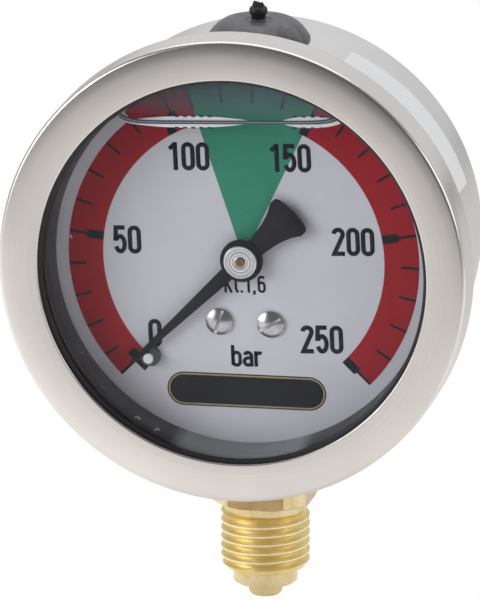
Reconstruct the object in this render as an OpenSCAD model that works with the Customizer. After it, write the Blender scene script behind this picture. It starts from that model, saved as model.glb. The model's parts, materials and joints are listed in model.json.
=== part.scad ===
// Bourdon-tube pressure gauge, nominal size 63, lower G1/4B connection.
// Origin: axis of the connection, at the lower end of the full thread.
// +Z runs up the connection, the dial faces -Y.  All sizes in millimetres.

/* [Case] */
// Outer radius of the case
case_r = 31; // [29:0.5:38]
// Wall of the case
case_wall = 0.8; // [0.6:0.1:1.2]
// Depth of the case back behind the connection axis
case_back = 9.5; // [8.5:0.5:14]
// Radius of the rounded back edge
back_edge_r = 3; // [1.5:0.5:4]
// Height of the dial centre above the lower end of the full thread
centre_z = 50.5; // [50.5:0.1:61]

/* [Bezel] */
// How far the bezel stands out beyond the case radius
bezel_over = 3.5; // [3.3:0.1:5]
// Radius of the bezel opening
opening_r = 29; // [27:0.5:29.5]
// Bezel front ahead of the connection axis
bezel_front = 23.5; // [23:0.5:28]
// Depth of the bezel, front face to crimped lip
bezel_depth = 7.3; // [6:0.1:9]
// Sheet thickness of the bezel
bezel_wall = 0.8; // [0.6:0.1:1]
// Radius of the outer shoulder
shoulder_r = 1.4; // [1:0.1:2]

/* [Window and dial] */
// Thickness of the window
window_t = 2; // [1.5:0.1:3]
// Thickness of the flat gasket in front of the window
gasket_t = 0.55; // [0.4:0.05:0.8]
// Depth of the dial face behind the bezel front
dial_drop = 9; // [7.5:0.1:9.5]
// Radius of the dial
dial_r = 28; // [24:0.5:28.2]
// Thickness of the dial sheet
dial_t = 0.5; // [0.4:0.1:0.8]
// Sideways distance of each dial screw from the centre
dial_screw_x = 3.85; // [3.5:0.05:5]
// Distance of the dial screws below the centre
dial_screw_drop = 9.1; // [8:0.1:10]

/* [Pointer] */
// Length from the centre to the tip
pointer_len = 23.3; // [16:0.1:23.5]
// Length of the tail
pointer_tail = 11.3; // [8:0.1:12]
// Width of the blade beside the hub
blade_w = 1.9; // [1.4:0.1:2.2]
// Width of the tip
tip_w = 0.6; // [0.4:0.1:1]
// Half of the angle over which the tail flares
tail_half = 18; // [12:1:20]
// Thickness of the pointer sheet
pointer_t = 0.4; // [0.3:0.1:0.6]

/* [Connection] */
// Major radius of the thread
thread_r = 6.5785; // [6.4:0.0005:6.6]
// Length of the full thread
thread_len = 8.4; // [7:0.1:10]
// Radius of the spigot under the thread
spigot_r = 4.75; // [4:0.05:5.2]
// Length of the spigot
spigot_len = 2.3; // [1.5:0.1:3]
// Radius of the centring pilot
pilot_r = 2.5; // [2.3:0.1:3]
// Length of the pilot
pilot_len = 2; // [1.5:0.1:3]
// Radius of the pressure port
port_r = 1.5; // [1.2:0.1:1.6]
// Width across the flats
flats_w = 14; // [14:0.5:17]
// Radius at which the corners of the flats are turned
corner_r = 8.5; // [8.3:0.1:9.5]
// Radius of the neck that passes through the case
neck_r = 5; // [4.8:0.1:5.2]

/* [Movement] */
// Module of the gear teeth
gear_module = 0.3; // [0.3:0.01:0.32]
// Teeth of the pinion
pinion_teeth = 10; // [10:1:10]
// Teeth that a full ring of the sector would have
sector_ring_teeth = 90; // [90:1:90]
// Gap between the two movement plates
plate_gap = 5; // [5:0.1:6]
// Thickness of each movement plate
plate_t = 1; // [0.8:0.1:1.2]
// Radius of the pinion shaft and of the sector arbor
shaft_r = 0.6; // [0.5:0.05:0.7]
// Length of the sector tail
tail_len = 6; // [6:1:6]
// Radius of the two link pins
link_pin_r = 0.5; // [0.4:0.05:0.6]
// Centre-line radius of the bourdon tube
tube_arc_r = 20; // [16.5:0.1:22]
// Width of the tube across the case depth
tube_w = 5; // [4:0.1:5]
// Thickness of the flattened tube
tube_t = 2.2; // [1.8:0.1:2.6]
// Wall of the tube
tube_wall = 0.45; // [0.3:0.05:0.6]
// Turns of the hairspring
spring_turns = 4; // [3:1:5]

/* [Vent plug and label] */
// Radius of the rubber plug's head
plug_r = 7.6; // [6:0.1:9]
// Height of the plug's head above the case
plug_h = 2.6; // [2:0.1:4]
// Distance of the plug ahead of the connection axis
plug_ahead = 4.5; // [2:0.1:6]
// Radius of the plug's neck in the case
plug_neck_r = 4.5; // [3:0.1:5]
// Radius of the nipple
nipple_r = 1.4; // [1:0.1:2]
// Height of the nipple
nipple_h = 2.4; // [2:0.1:4]
// Length of the label along the case depth
label_w = 14; // [8:0.5:15]
// Angle of the label's lower end above the horizontal
label_from = 19; // [10:1:40]
// Angle that the label covers
label_span = 46; // [20:1:60]

/* [Fits] */
// Radial clearance of a running shaft
running_fit = 0.02; // [0.01:0.01:0.04]
// Gap between pieces that seat on each other
seat_gap = 0.02; // [0.01:0.01:0.05]
// Radial clearance of loose pieces and through holes
loose_fit = 0.1; // [0.05:0.05:0.2]
// Radial play of the link on the tube's tip pin
tip_play = 0.2; // [0.15:0.05:0.3]

/* [Hidden] */
$fn = 48;

EPS = 0.05;
CUT = 1;

// depths ahead of the connection axis
rim_r = case_r + bezel_over - bezel_wall - loose_fit;
bezel_r = case_r + bezel_over;
lip_f = bezel_front - bezel_depth;
rim_back = lip_f + bezel_wall + seat_gap;
rim_front = rim_back + case_wall;
gasket_front = bezel_front - bezel_wall - seat_gap;
window_front = gasket_front - gasket_t - seat_gap;
window_back = window_front - window_t;
dial_front = bezel_front - dial_drop;
dial_back = dial_front - dial_t;
seal_r = opening_r - 1.15;
case_inner = case_r - case_wall;
seal_lip = case_inner - seal_r;
gasket_in = opening_r - 0.6;

// movement, seen from the front
centre_gap = gear_module * (pinion_teeth + sector_ring_teeth) / 2;
arbor_z = centre_z - centre_gap;
pinion_pitch_r = gear_module * pinion_teeth / 2;
sector_pitch_r = gear_module * sector_ring_teeth / 2;
tooth_out = 0.8 * gear_module;
tooth_in = 1.25 * gear_module;
full_scale = 270;
gear_ratio = sector_ring_teeth / pinion_teeth;
sector_swing = full_scale / gear_ratio;
sector_rest = sector_swing / 2;
sector_pitches = sector_rest * sector_ring_teeth / 360;
mesh_shift = sector_pitches - floor(sector_pitches);
back_plate_back = 3.8;
back_plate_front = back_plate_back + plate_t;
front_plate_back = back_plate_front + plate_gap;
front_plate_front = front_plate_back + plate_t;
sector_t = 0.8;
sector_back = back_plate_front + 2.2;
sector_front = sector_back + sector_t;
link_t = 0.7;
link_front = sector_back - 0.4;
link_back = link_front - link_t;
bush_r = 1.2;
pillar_r = 1.2;
pillar_screw_r = 0.7;
pillar_low = [9.6, arbor_z + 0.3];
pillar_high = [4.2, centre_z + 5.8];
pillars = [pillar_low, pillar_high, [-pillar_low[0], pillar_low[1]], [-pillar_high[0], pillar_high[1]]];
plate_low_z = arbor_z - 10;
plate_half = 4.6;
boss_r = 1.9;
dial_screw_r = 1;
dial_head_r = 2.1;
dial_head_h = 1;

// linkage
tail_pin_at = [-tail_len * sin(sector_rest), arbor_z - tail_len * cos(sector_rest)];
tip_pin_at = [15.5, centre_z - 17];
link_w = 1.8;
tube_end = 310;
tube_start = 7;
tube_front = back_plate_back - 0.4;
tube_back = tube_front - tube_w;
tip_end_at = [tube_arc_r * cos(-90 - tube_end - 5), tube_arc_r * sin(-90 - tube_end - 5)];
tip_arm_run = tip_end_at - [tip_pin_at[0], tip_pin_at[1] - centre_z];
tip_arm = norm(tip_arm_run);
tip_arm_turn = atan2(tip_arm_run[1], tip_arm_run[0]);

// connection
chamfer = 0.7;
relief_len = 1.3;
relief_r = thread_r - 0.5;
block_z = thread_len + relief_len;
block_edge = 0.6;
case_bottom = centre_z - case_r;
saddle_r = neck_r + 2.2;
saddle_top = centre_z - case_inner + 2.2;
nut_h = 2.6;
nut_af = 13;
seal_ring_r = neck_r + 1.5;
seal_depth = 0.9;
stalk_half = 3.1;
stalk_front = back_plate_back;
stalk_back = -2.6;
stalk_top = arbor_z - bush_r - 0.3;
stalk_bottom = saddle_top + nut_h - 0.8;
restrictor_z = 3;
restrictor_h = 3;
restrictor_r = port_r - 0.25;
restrictor_hole = 0.3;
port_top = restrictor_z + restrictor_h;
gallery_r = 0.9;
gallery_top = centre_z - sqrt(pow(tube_arc_r, 2) - pow(stalk_half, 2)) + 0.4;
screw_r = 0.8;
screw_head_r = 1.35;
screw_head_h = 0.5;
movement_screw_z = [plate_low_z + 2.2, stalk_top - 1.7];

// pointer stack
pointer_back = dial_front + 1;
pointer_front = pointer_back + pointer_t;
hub_disc_r = 3.15;
hub_disc_front = pointer_front + 0.35;
hub_front = hub_disc_front + 0.7;
hub_cap_r = 2.5;
hub_boss_r = 1.6;
shaft_front = hub_front + 0.15;
shaft_back = back_plate_back + 0.1;
zero_angle = 225;
stop_r = 0.5;
stop_head_r = 0.75;
stop_bush_r = 1.5;
stop_reach = pointer_len - 1.9;
stop_side = (blade_w + (tip_w - blade_w) * stop_reach / pointer_len) / 2 + stop_r + 0.15;

// hairspring
spring_in = 1.35;
spring_out = 4.6;
spring_strip = 0.12;
spring_h = 0.5;
collet_back = sector_front + 0.65;
collet_front = front_plate_back - 0.15;
spring_back = (collet_back + collet_front - spring_h) / 2;
spring_end_turn = 40;

// -------- frames and small helpers --------

// x stays, y becomes up and z becomes forwards, towards the reader of the dial
module facing() {
    translate([0, 0, centre_z]) rotate([90, 0, 0]) children();
}

// the same with the height measured from the thread, not from the dial centre
module fore() {
    rotate([90, 0, 0]) children();
}

module rounded_rect(x0, y0, x1, y1, r) {
    translate([x0 + r, y0]) square([x1 - x0 - 2 * r, y1 - y0]);
    translate([x0, y0 + r]) square([x1 - x0, y1 - y0 - 2 * r]);
    for (x = [x0 + r, x1 - r], y = [y0 + r, y1 - r]) translate([x, y]) circle(r);
}

module box2(x0, y0, x1, y1) {
    translate([x0, y0]) square([x1 - x0, y1 - y0]);
}

module slab(from, to) {
    translate([0, 0, from]) linear_extrude(to - from) children();
}

module disc(r, from, to) {
    translate([0, 0, from]) cylinder(r = r, h = to - from);
}

module ring(r_out, r_in, from, to) {
    difference() {
        disc(r_out, from, to);
        disc(r_in, from - CUT, to + CUT);
    }
}

module pan_head(r, h, slot_w, slot_turn) {
    difference() {
        intersection() {
            cylinder(r = r, h = h);
            translate([0, 0, h - (r * r + h * h) / (2 * h)]) sphere((r * r + h * h) / (2 * h));
        }
        rotate(slot_turn) translate([-r - CUT, -slot_w / 2, h * 0.5])
            cube([2 * (r + CUT), slot_w, h]);
    }
}

// -------- case, bezel and window --------

module case_profile() {
    box2(0, -case_back, case_r - back_edge_r, -case_back + case_wall);
    box2(case_inner, -case_back + back_edge_r, case_r, rim_front);
    box2(case_inner, rim_back, rim_r, rim_front);
    intersection() {
        translate([case_r - back_edge_r, -case_back + back_edge_r]) difference() {
            circle(back_edge_r);
            circle(back_edge_r - case_wall);
        }
        box2(case_r - back_edge_r, -case_back, case_r, -case_back + back_edge_r);
    }
}

module case() {
    color("silver") difference() {
        facing() rotate_extrude($fn = 96) case_profile();
        disc(neck_r + loose_fit, case_bottom - CUT, case_bottom + 2 * back_edge_r);
        translate([0, -plug_ahead, 0])
            disc(plug_neck_r + seat_gap, centre_z + case_inner - 2 * CUT, centre_z + case_r + CUT);
    }
}

module bezel_profile() {
    lip_in = case_r + 0.3;
    difference() {
        rounded_rect(opening_r, lip_f, bezel_r, bezel_front, shoulder_r);
        box2(opening_r - CUT, lip_f + bezel_wall, bezel_r - bezel_wall, bezel_front - bezel_wall);
        box2(opening_r - CUT, lip_f - CUT, lip_in, lip_f + bezel_wall + EPS);
        box2(opening_r - CUT, bezel_front - bezel_wall - EPS, opening_r + shoulder_r, bezel_front + CUT);
    }
    translate([opening_r + bezel_wall / 2, bezel_front - bezel_wall / 2]) circle(bezel_wall / 2);
    box2(opening_r + bezel_wall / 2, bezel_front - bezel_wall, opening_r + shoulder_r + EPS, bezel_front);
}

module bezel() {
    color("silver") facing() rotate_extrude($fn = 96) bezel_profile();
}

module window() {
    color("aliceblue", 0.3) facing() disc(rim_r - loose_fit, window_back, window_front);
}

module window_gasket() {
    color("black") facing() ring(rim_r, gasket_in, gasket_front - gasket_t, gasket_front);
}

// one rubber profile carries the window on the case rim and walls the space before the dial
module profile_seal() {
    color("black") facing() rotate_extrude($fn = 96) {
        box2(seal_r, rim_front + seat_gap, rim_r, window_back - seat_gap);
        box2(seal_r, dial_front + 0.1, seal_r + seal_lip - loose_fit, rim_front + 2 * seat_gap);
    }
}

// -------- dial --------

module dial() {
    color("gainsboro") facing() difference() {
        disc(dial_r, dial_back, dial_front);
        disc(hub_boss_r + 0.4, dial_back - CUT, dial_front + CUT);
        for (side = [-1, 1]) translate([side * dial_screw_x, -dial_screw_drop, 0])
            disc(dial_screw_r + loose_fit, dial_back - CUT, dial_front + CUT);
        stop_pin_place() disc(stop_r + seat_gap, dial_back - CUT, dial_front + CUT);
    }
}

module dial_screws() {
    color("silver") facing() for (side = [-1, 1])
        translate([side * dial_screw_x, -dial_screw_drop, 0]) {
            disc(dial_screw_r, front_plate_front + 0.6, dial_front + seat_gap + EPS);
            translate([0, 0, dial_front + seat_gap])
                pan_head(dial_head_r, dial_head_h, 0.45, 52 - 20 * side);
        }
}

module stop_pin_place() {
    rotate(zero_angle) translate([stop_reach, stop_side, 0]) children();
}

module stop_pin() {
    color("silver") facing() stop_pin_place() {
        disc(stop_r, dial_back - 0.3, hub_disc_front + 0.4);
        disc(stop_head_r, hub_disc_front, hub_disc_front + 0.4);
        disc(stop_bush_r, dial_front + seat_gap, pointer_back - 0.15);
    }
}

// -------- pointer and its shaft --------

module pointer_blade() {
    polygon([[0, blade_w / 2], [0, -blade_w / 2], [pointer_len, -tip_w / 2], [pointer_len, tip_w / 2]]);
}

module pointer_tail_shape() {
    neck = blade_w + 0.4;
    start = 0.5 * pointer_tail;
    flare = pointer_tail * tan(tail_half);
    intersection() {
        circle(pointer_tail);
        polygon([
            [0, neck / 2], [-start, neck / 2 + 0.05], [-0.75 * pointer_tail, neck / 2 + 0.9],
            [-pointer_tail - CUT, flare], [-pointer_tail - CUT, -flare],
            [-0.75 * pointer_tail, -neck / 2 - 0.9], [-start, -neck / 2 - 0.05], [0, -neck / 2]
        ]);
    }
}

module pointer() {
    color("black") facing() difference() {
        union() {
            rotate(zero_angle) slab(pointer_back, pointer_front) {
                pointer_blade();
                pointer_tail_shape();
            }
            disc(hub_disc_r, pointer_back, hub_disc_front);
        }
        disc(hub_boss_r + seat_gap, pointer_back - CUT, hub_disc_front + CUT);
    }
}

module pointer_hub() {
    color("silver") facing() difference() {
        union() {
            disc(hub_boss_r, pointer_back - 0.5, hub_disc_front + EPS);
            rotate_extrude() intersection() {
                rounded_rect(-hub_cap_r, hub_disc_front + seat_gap, hub_cap_r, hub_front, 0.2);
                box2(0, hub_disc_front, hub_cap_r + CUT, hub_front + CUT);
            }
        }
        disc(shaft_r + seat_gap, pointer_back - CUT, hub_front + CUT);
    }
}

function tooth(r, angle) = [r * cos(angle), r * sin(angle)];

// straight-flanked teeth, thinned for backlash, between radii r_in and r_out
function gear_points(teeth, ring_teeth, r_in, r_out, first) = [
    for (k = [0:teeth - 1]) let (pitch = 360 / ring_teeth, mid = first + k * pitch)
        each [
            tooth(r_in, mid - 0.31 * pitch), tooth(r_out, mid - 0.11 * pitch),
            tooth(r_out, mid + 0.11 * pitch), tooth(r_in, mid + 0.31 * pitch)
        ]
];

module pinion_shaft() {
    color("goldenrod") facing() {
        disc(shaft_r, shaft_back, shaft_front);
        slab(sector_back - 0.5, sector_front + 0.5) polygon(gear_points(
            pinion_teeth, pinion_teeth, pinion_pitch_r - tooth_in, pinion_pitch_r + tooth_out,
            -90 + (mesh_shift + 0.5) * 360 / pinion_teeth));
    }
}

// -------- hairspring --------

function spiral(r0, r1, turns, steps) = [
    for (k = [0:steps]) let (t = k / steps, a = spring_end_turn - 360 * turns * (1 - t))
        [(r0 + (r1 - r0) * t) * cos(a), (r0 + (r1 - r0) * t) * sin(a)]
];

module hairspring_collet() {
    color("goldenrod") facing() difference() {
        disc(spring_in - loose_fit, collet_back, collet_front);
        disc(shaft_r + seat_gap, collet_back - CUT, collet_front + CUT);
    }
}

module hairspring() {
    steps = 24 * spring_turns;
    inner = spiral(spring_in, spring_out, spring_turns, steps);
    outer = spiral(spring_in + spring_strip, spring_out + spring_strip, spring_turns, steps);
    backwards = [for (k = [steps:-1:0]) outer[k]];
    color("peru") facing() slab(spring_back, spring_back + spring_h) polygon(concat(inner, backwards));
}

module hairspring_stud() {
    stud_r = 0.5;
    at = spring_out + spring_strip + stud_r + loose_fit;
    color("goldenrod") facing() rotate(spring_end_turn) translate([at, 0, 0])
        disc(stud_r, spring_back - 0.1, front_plate_back - seat_gap);
}

// -------- sector, link and tube --------

module sector_gear() {
    teeth = 13;
    pitch = 360 / sector_ring_teeth;
    root = sector_pitch_r - tooth_in;
    half = pitch * teeth / 2;
    first = 90 - pitch * (teeth - 1) / 2;
    color("goldenrod") fore() translate([0, arbor_z, 0]) rotate(-sector_rest) difference() {
        slab(sector_back, sector_front) {
            polygon(concat(
                gear_points(teeth, sector_ring_teeth, root, sector_pitch_r + tooth_out, first),
                [for (a = [90 + half, 90 + half / 2, 90, 90 - half / 2, 90 - half]) tooth(root - 1.8, a)]
            ));
            box2(-1.3, 0, 1.3, root - 1);
            circle(2.4);
            box2(-1.1, -tail_len, 1.1, 0);
            translate([0, -tail_len]) circle(1.1);
        }
        disc(shaft_r + seat_gap, sector_back - CUT, sector_front + CUT);
        translate([0, -tail_len, 0])
            disc(link_pin_r + seat_gap, sector_back - CUT, sector_front + CUT);
    }
}

module sector_arbor() {
    color("silver") fore() translate([0, arbor_z, 0]) {
        disc(shaft_r, shaft_back, front_plate_front - 0.1);
        ring(1.3, shaft_r - EPS, sector_front + seat_gap, sector_front + 0.6);
    }
}

module link_pin(head_back, shank_front) {
    disc(link_pin_r, head_back, shank_front);
    disc(link_pin_r + 0.45, head_back, head_back + 0.25);
}

module tail_pin() {
    color("silver") fore() translate([tail_pin_at[0], tail_pin_at[1], 0])
        link_pin(link_back - 0.3, sector_front + 0.1);
}

module link() {
    run = tip_pin_at - tail_pin_at;
    length = norm(run);
    color("goldenrod") fore() translate([tail_pin_at[0], tail_pin_at[1], 0])
        rotate(atan2(run[1], run[0])) difference() {
            slab(link_back, link_front) {
                circle(link_w / 2);
                translate([length, 0]) circle(link_w / 2);
                box2(0, -0.3 * link_w, length, 0.3 * link_w);
            }
            disc(link_pin_r + running_fit, link_back - CUT, link_front + CUT);
            translate([length, 0, 0])
                disc(link_pin_r + tip_play, link_back - CUT, link_front + CUT);
        }
}

// flattened tube section, centred, in the plane of radius and depth
module tube_section(t, w) {
    translate([-t / 2, -w / 2 + t / 2]) square([t, w - t]);
    for (side = [-1, 1]) translate([0, side * (w - t) / 2]) circle(t / 2);
}

module on_tube(angle) {
    rotate(-90 - angle) translate([tube_arc_r, 0, 0]) children();
}

module bourdon_tube() {
    color("peru") facing() translate([0, 0, (tube_front + tube_back) / 2])
        rotate(-90 - tube_end) rotate_extrude(angle = tube_end - tube_start)
            translate([tube_arc_r, 0]) difference() {
                tube_section(tube_t, tube_w);
                tube_section(tube_t - 2 * tube_wall, tube_w - 2 * tube_wall);
            }
}

module tip_block() {
    cap = 3;
    color("goldenrod") facing() {
        on_tube(tube_end + seat_gap / 2) translate([0, -cap - seat_gap, 0])
            translate([-tube_t / 2 - 0.3, 0, tube_back + 0.4])
                cube([tube_t + 0.6, cap, tube_w - 0.8]);
        difference() {
            slab(tube_front - 2, tube_front - 0.4) {
                translate([tip_pin_at[0], tip_pin_at[1] - centre_z]) circle(1.7);
                translate([tip_pin_at[0], tip_pin_at[1] - centre_z]) rotate(tip_arm_turn)
                    box2(0, -1.5, tip_arm, 1.5);
            }
            translate([tip_pin_at[0], tip_pin_at[1] - centre_z, 0])
                disc(link_pin_r + seat_gap, 0, tube_front + CUT);
        }
    }
}

module tip_pin() {
    color("silver") fore() translate([tip_pin_at[0], tip_pin_at[1], 0]) {
        disc(link_pin_r, tube_front - 1.9, link_front + 0.5);
        ring(link_pin_r + 0.5, link_pin_r - EPS, tube_front - 0.35, link_back - 0.1);
        ring(link_pin_r + 0.45, link_pin_r - EPS, link_front + 0.1, link_front + 0.5);
    }
}

// -------- movement plates --------

module plate_outline() {
    box2(-plate_half, plate_low_z, plate_half, pillar_high[1]);
    box2(-pillar_low[0], arbor_z - 1.7, pillar_low[0], arbor_z + 2.3);
    for (at = pillars) translate(at) circle(2);
    box2(-pillar_high[0], pillar_high[1] - 2, pillar_high[0], pillar_high[1] + 2);
}

module shaft_holes(r, from, to) {
    translate([0, arbor_z, 0]) disc(r, from, to);
    translate([0, centre_z, 0]) disc(r, from, to);
}

module front_plate() {
    color("goldenrod") fore() difference() {
        union() {
            slab(front_plate_back, front_plate_front) plate_outline();
            for (side = [-1, 1]) translate([side * dial_screw_x, centre_z - dial_screw_drop, 0])
                disc(boss_r, front_plate_front - EPS, dial_back - seat_gap);
        }
        shaft_holes(bush_r + seat_gap, front_plate_back - CUT, front_plate_front + CUT);
        for (side = [-1, 1]) translate([side * dial_screw_x, centre_z - dial_screw_drop, 0])
            disc(dial_screw_r + seat_gap, front_plate_front + 0.4, dial_back + CUT);
        for (at = pillars) translate(at)
            disc(pillar_screw_r + loose_fit, front_plate_back - CUT, front_plate_front + CUT);
    }
}

module back_plate() {
    color("goldenrod") fore() difference() {
        slab(back_plate_back + seat_gap, back_plate_front) plate_outline();
        shaft_holes(bush_r + seat_gap, back_plate_back - CUT, back_plate_front + CUT);
        for (z = movement_screw_z) translate([0, z, 0])
            disc(screw_r + loose_fit, back_plate_back - CUT, back_plate_front + CUT);
    }
}

module plate_pillars() {
    color("goldenrod") fore() for (at = pillars) translate(at) difference() {
        disc(pillar_r, back_plate_front + seat_gap, front_plate_back - seat_gap);
        disc(pillar_screw_r + seat_gap, front_plate_back - 3, front_plate_back + CUT);
    }
}

module plate_screws() {
    color("silver") fore() for (at = pillars) translate(at) {
        disc(pillar_screw_r, front_plate_back - 2.8, front_plate_front + seat_gap + EPS);
        translate([0, 0, front_plate_front + seat_gap]) pan_head(1.4, 0.7, 0.35, 30 * at[0]);
    }
}

module movement_screws() {
    color("silver") fore() for (z = movement_screw_z) translate([0, z, 0]) {
        disc(screw_r, back_plate_back - 2, back_plate_front + seat_gap + EPS);
        disc(screw_head_r, back_plate_front + seat_gap, back_plate_front + seat_gap + screw_head_h);
    }
}

module bush_pair(z) {
    fore() translate([0, z, 0]) {
        ring(bush_r, shaft_r + running_fit, back_plate_back + 2 * seat_gap, back_plate_front);
        ring(bush_r, shaft_r + running_fit, front_plate_back, front_plate_front);
    }
}

module shaft_bushes() {
    color("tan") bush_pair(centre_z);
}

module arbor_bushes() {
    color("tan") bush_pair(arbor_z);
}

// -------- connection --------

module case_space(extra) {
    facing() disc(case_r + extra, -2 * case_back, 2 * bezel_front, $fn = 240);
}

module flats_block() {
    half = flats_w / 2;
    corner_half = corner_r - 0.5;
    difference() {
        intersection() {
            translate([-half, -half, block_z]) cube([flats_w, flats_w, case_bottom + 2 - block_z]);
            rotate(45) translate([-corner_half, -corner_half, block_z])
                cube([2 * corner_half, 2 * corner_half, case_bottom + 2 - block_z]);
            union() {
                disc(corner_r, block_z + block_edge, case_bottom + 2);
                translate([0, 0, block_z])
                    cylinder(r1 = corner_r - 1.5 * block_edge, r2 = corner_r, h = block_edge + EPS);
            }
        }
        case_space(seat_gap);
        disc(seal_ring_r + seat_gap, case_bottom - seal_depth, case_bottom + 2 * CUT);
    }
}

module shank() {
    rotate_extrude() polygon([
        [0, -chamfer - spigot_len - pilot_len],
        [pilot_r - 0.4, -chamfer - spigot_len - pilot_len],
        [pilot_r, -chamfer - spigot_len - pilot_len + 0.4],
        [pilot_r, -chamfer - spigot_len],
        [spigot_r, -chamfer - spigot_len],
        [spigot_r, -chamfer],
        [thread_r - chamfer, -chamfer],
        [thread_r, 0],
        [thread_r, thread_len],
        [relief_r, thread_len],
        [relief_r, block_z + EPS],
        [0, block_z + EPS]
    ]);
}

module stalk() {
    translate([-stalk_half, -stalk_front, stalk_bottom])
        cube([2 * stalk_half, stalk_front - stalk_back, stalk_top - stalk_bottom]);
}

module socket() {
    pilot_end = -chamfer - spigot_len - pilot_len;
    color("gold") difference() {
        union() {
            shank();
            flats_block();
            disc(neck_r, block_z + block_edge, stalk_bottom + 1);
            stalk();
        }
        disc(port_r, pilot_end - CUT, restrictor_z);
        disc(restrictor_r, restrictor_z - EPS, port_top);
        disc(gallery_r, port_top - EPS, gallery_top);
        translate([0, 0, gallery_top]) sphere(gallery_r);
        facing() translate([0, 0, (tube_front + tube_back) / 2]) rotate(-90 - tube_start - 12)
            rotate_extrude(angle = 12 + tube_start + 0.3) translate([tube_arc_r, 0])
                tube_section(tube_t + 2 * seat_gap, tube_w + 2 * seat_gap);
        fore() for (z = movement_screw_z) translate([0, z, 0])
            disc(screw_r + seat_gap, back_plate_back - 2.4, back_plate_back + CUT);
    }
}

module restrictor() {
    color("silver") difference() {
        disc(restrictor_r - seat_gap, restrictor_z + seat_gap, port_top - 2 * seat_gap);
        disc(restrictor_hole, restrictor_z - CUT, port_top + CUT);
        translate([-port_r - CUT, -0.25, restrictor_z - CUT]) cube([2 * (port_r + CUT), 0.5, CUT + 0.6]);
    }
}

module socket_seal() {
    color("black") difference() {
        ring(seal_ring_r, neck_r + seat_gap, case_bottom - seal_depth + seat_gap, case_bottom + 2, $fn = 96);
        case_space(seat_gap);
    }
}

module case_saddle() {
    color("silver") intersection() {
        ring(saddle_r, neck_r + loose_fit, case_bottom, saddle_top, $fn = 96);
        facing() disc(case_inner - seat_gap, -2 * case_back, 2 * bezel_front, $fn = 240);
    }
}

module socket_nut() {
    color("goldenrod") difference() {
        translate([0, 0, saddle_top + seat_gap]) cylinder(d = nut_af / cos(30), h = nut_h, $fn = 6);
        disc(neck_r + seat_gap, saddle_top - CUT, saddle_top + nut_h + CUT);
    }
}

// -------- vent plug and label --------

module vent_plug() {
    top = case_r + plug_h;
    plug_fall = plug_h - 0.9;
    plug_dome_r = (plug_r * plug_r + plug_fall * plug_fall) / (2 * plug_fall);
    color("black") translate([0, -plug_ahead, centre_z]) difference() {
        union() {
            difference() {
                intersection() {
                    disc(plug_r, case_r - 1.6, top);
                    translate([0, 0, top - plug_dome_r]) sphere(plug_dome_r, $fn = 96);
                }
                translate([0, CUT, 0]) rotate([90, 0, 0])
                    translate([0, 0, -4 * case_r]) cylinder(r = case_r + seat_gap, h = 8 * case_r, $fn = 96);
            }
            disc(plug_neck_r, case_inner - 1.2, case_r + 1);
            disc(plug_neck_r + 0.6, case_inner - 1.8, case_inner - 0.7);
            disc(nipple_r, top - 0.6, top + nipple_h);
        }
        disc(0.45, top + 0.5, top + nipple_h + CUT);
    }
}

module label() {
    thick = 0.12;
    color("white") facing() rotate(label_from) rotate_extrude(angle = label_span, $fn = 96)
        box2(case_r + seat_gap, lip_f - 0.5 - label_w, case_r + seat_gap + thick, lip_f - 0.5);
}

case();
bezel();
window();
window_gasket();
profile_seal();
dial();
dial_screws();
stop_pin();
pointer();
pointer_hub();
pinion_shaft();
hairspring_collet();
hairspring();
hairspring_stud();
sector_gear();
sector_arbor();
tail_pin();
link();
tip_block();
tip_pin();
bourdon_tube();
front_plate();
back_plate();
plate_pillars();
plate_screws();
movement_screws();
shaft_bushes();
arbor_bushes();
socket();
restrictor();
socket_seal();
case_saddle();
socket_nut();
vent_plug();
label();
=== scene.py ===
"""Looks of a liquid-filled pressure gauge, built around its packed construction."""

import json
import logging
import math
import random
from dataclasses import dataclass, field
from enum import Enum
from typing import Iterable, Sequence

import bmesh
import bpy
from mathutils import Matrix, Vector


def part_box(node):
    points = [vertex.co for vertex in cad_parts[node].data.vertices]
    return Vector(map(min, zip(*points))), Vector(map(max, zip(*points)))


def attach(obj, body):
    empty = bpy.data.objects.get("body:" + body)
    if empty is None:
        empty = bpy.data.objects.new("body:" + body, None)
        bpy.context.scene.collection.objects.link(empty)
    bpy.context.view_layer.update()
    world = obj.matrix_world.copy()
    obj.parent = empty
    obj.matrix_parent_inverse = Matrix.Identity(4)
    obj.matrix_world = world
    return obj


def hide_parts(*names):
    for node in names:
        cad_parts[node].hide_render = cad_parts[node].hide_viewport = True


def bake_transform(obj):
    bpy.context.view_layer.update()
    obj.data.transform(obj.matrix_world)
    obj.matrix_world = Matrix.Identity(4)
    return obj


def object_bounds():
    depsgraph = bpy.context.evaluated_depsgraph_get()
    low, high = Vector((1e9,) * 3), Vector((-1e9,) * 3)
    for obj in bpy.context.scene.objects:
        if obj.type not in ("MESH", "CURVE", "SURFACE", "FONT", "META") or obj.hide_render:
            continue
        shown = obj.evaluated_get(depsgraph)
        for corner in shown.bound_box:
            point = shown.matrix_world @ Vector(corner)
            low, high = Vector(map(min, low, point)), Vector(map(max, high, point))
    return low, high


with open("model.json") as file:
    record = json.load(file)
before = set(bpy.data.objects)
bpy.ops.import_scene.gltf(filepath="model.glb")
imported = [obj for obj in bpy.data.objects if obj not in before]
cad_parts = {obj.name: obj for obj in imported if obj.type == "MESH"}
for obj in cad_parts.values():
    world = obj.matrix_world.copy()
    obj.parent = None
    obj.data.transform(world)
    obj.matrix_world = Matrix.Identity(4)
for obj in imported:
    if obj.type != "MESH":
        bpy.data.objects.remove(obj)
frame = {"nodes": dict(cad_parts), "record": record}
CAD_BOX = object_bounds()

MM = 0.001
TURN = 2.0 * math.pi
RING_STEPS = 192
SHARP_EDGE = math.radians(32.0)
MERGE = 1e-5
SEAT_GAP = 0.02
LOG = logging.getLogger("gauge")

Point = tuple[float, float]
Place = tuple[float, float, float]
Colour = tuple[float, float, float]


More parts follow.
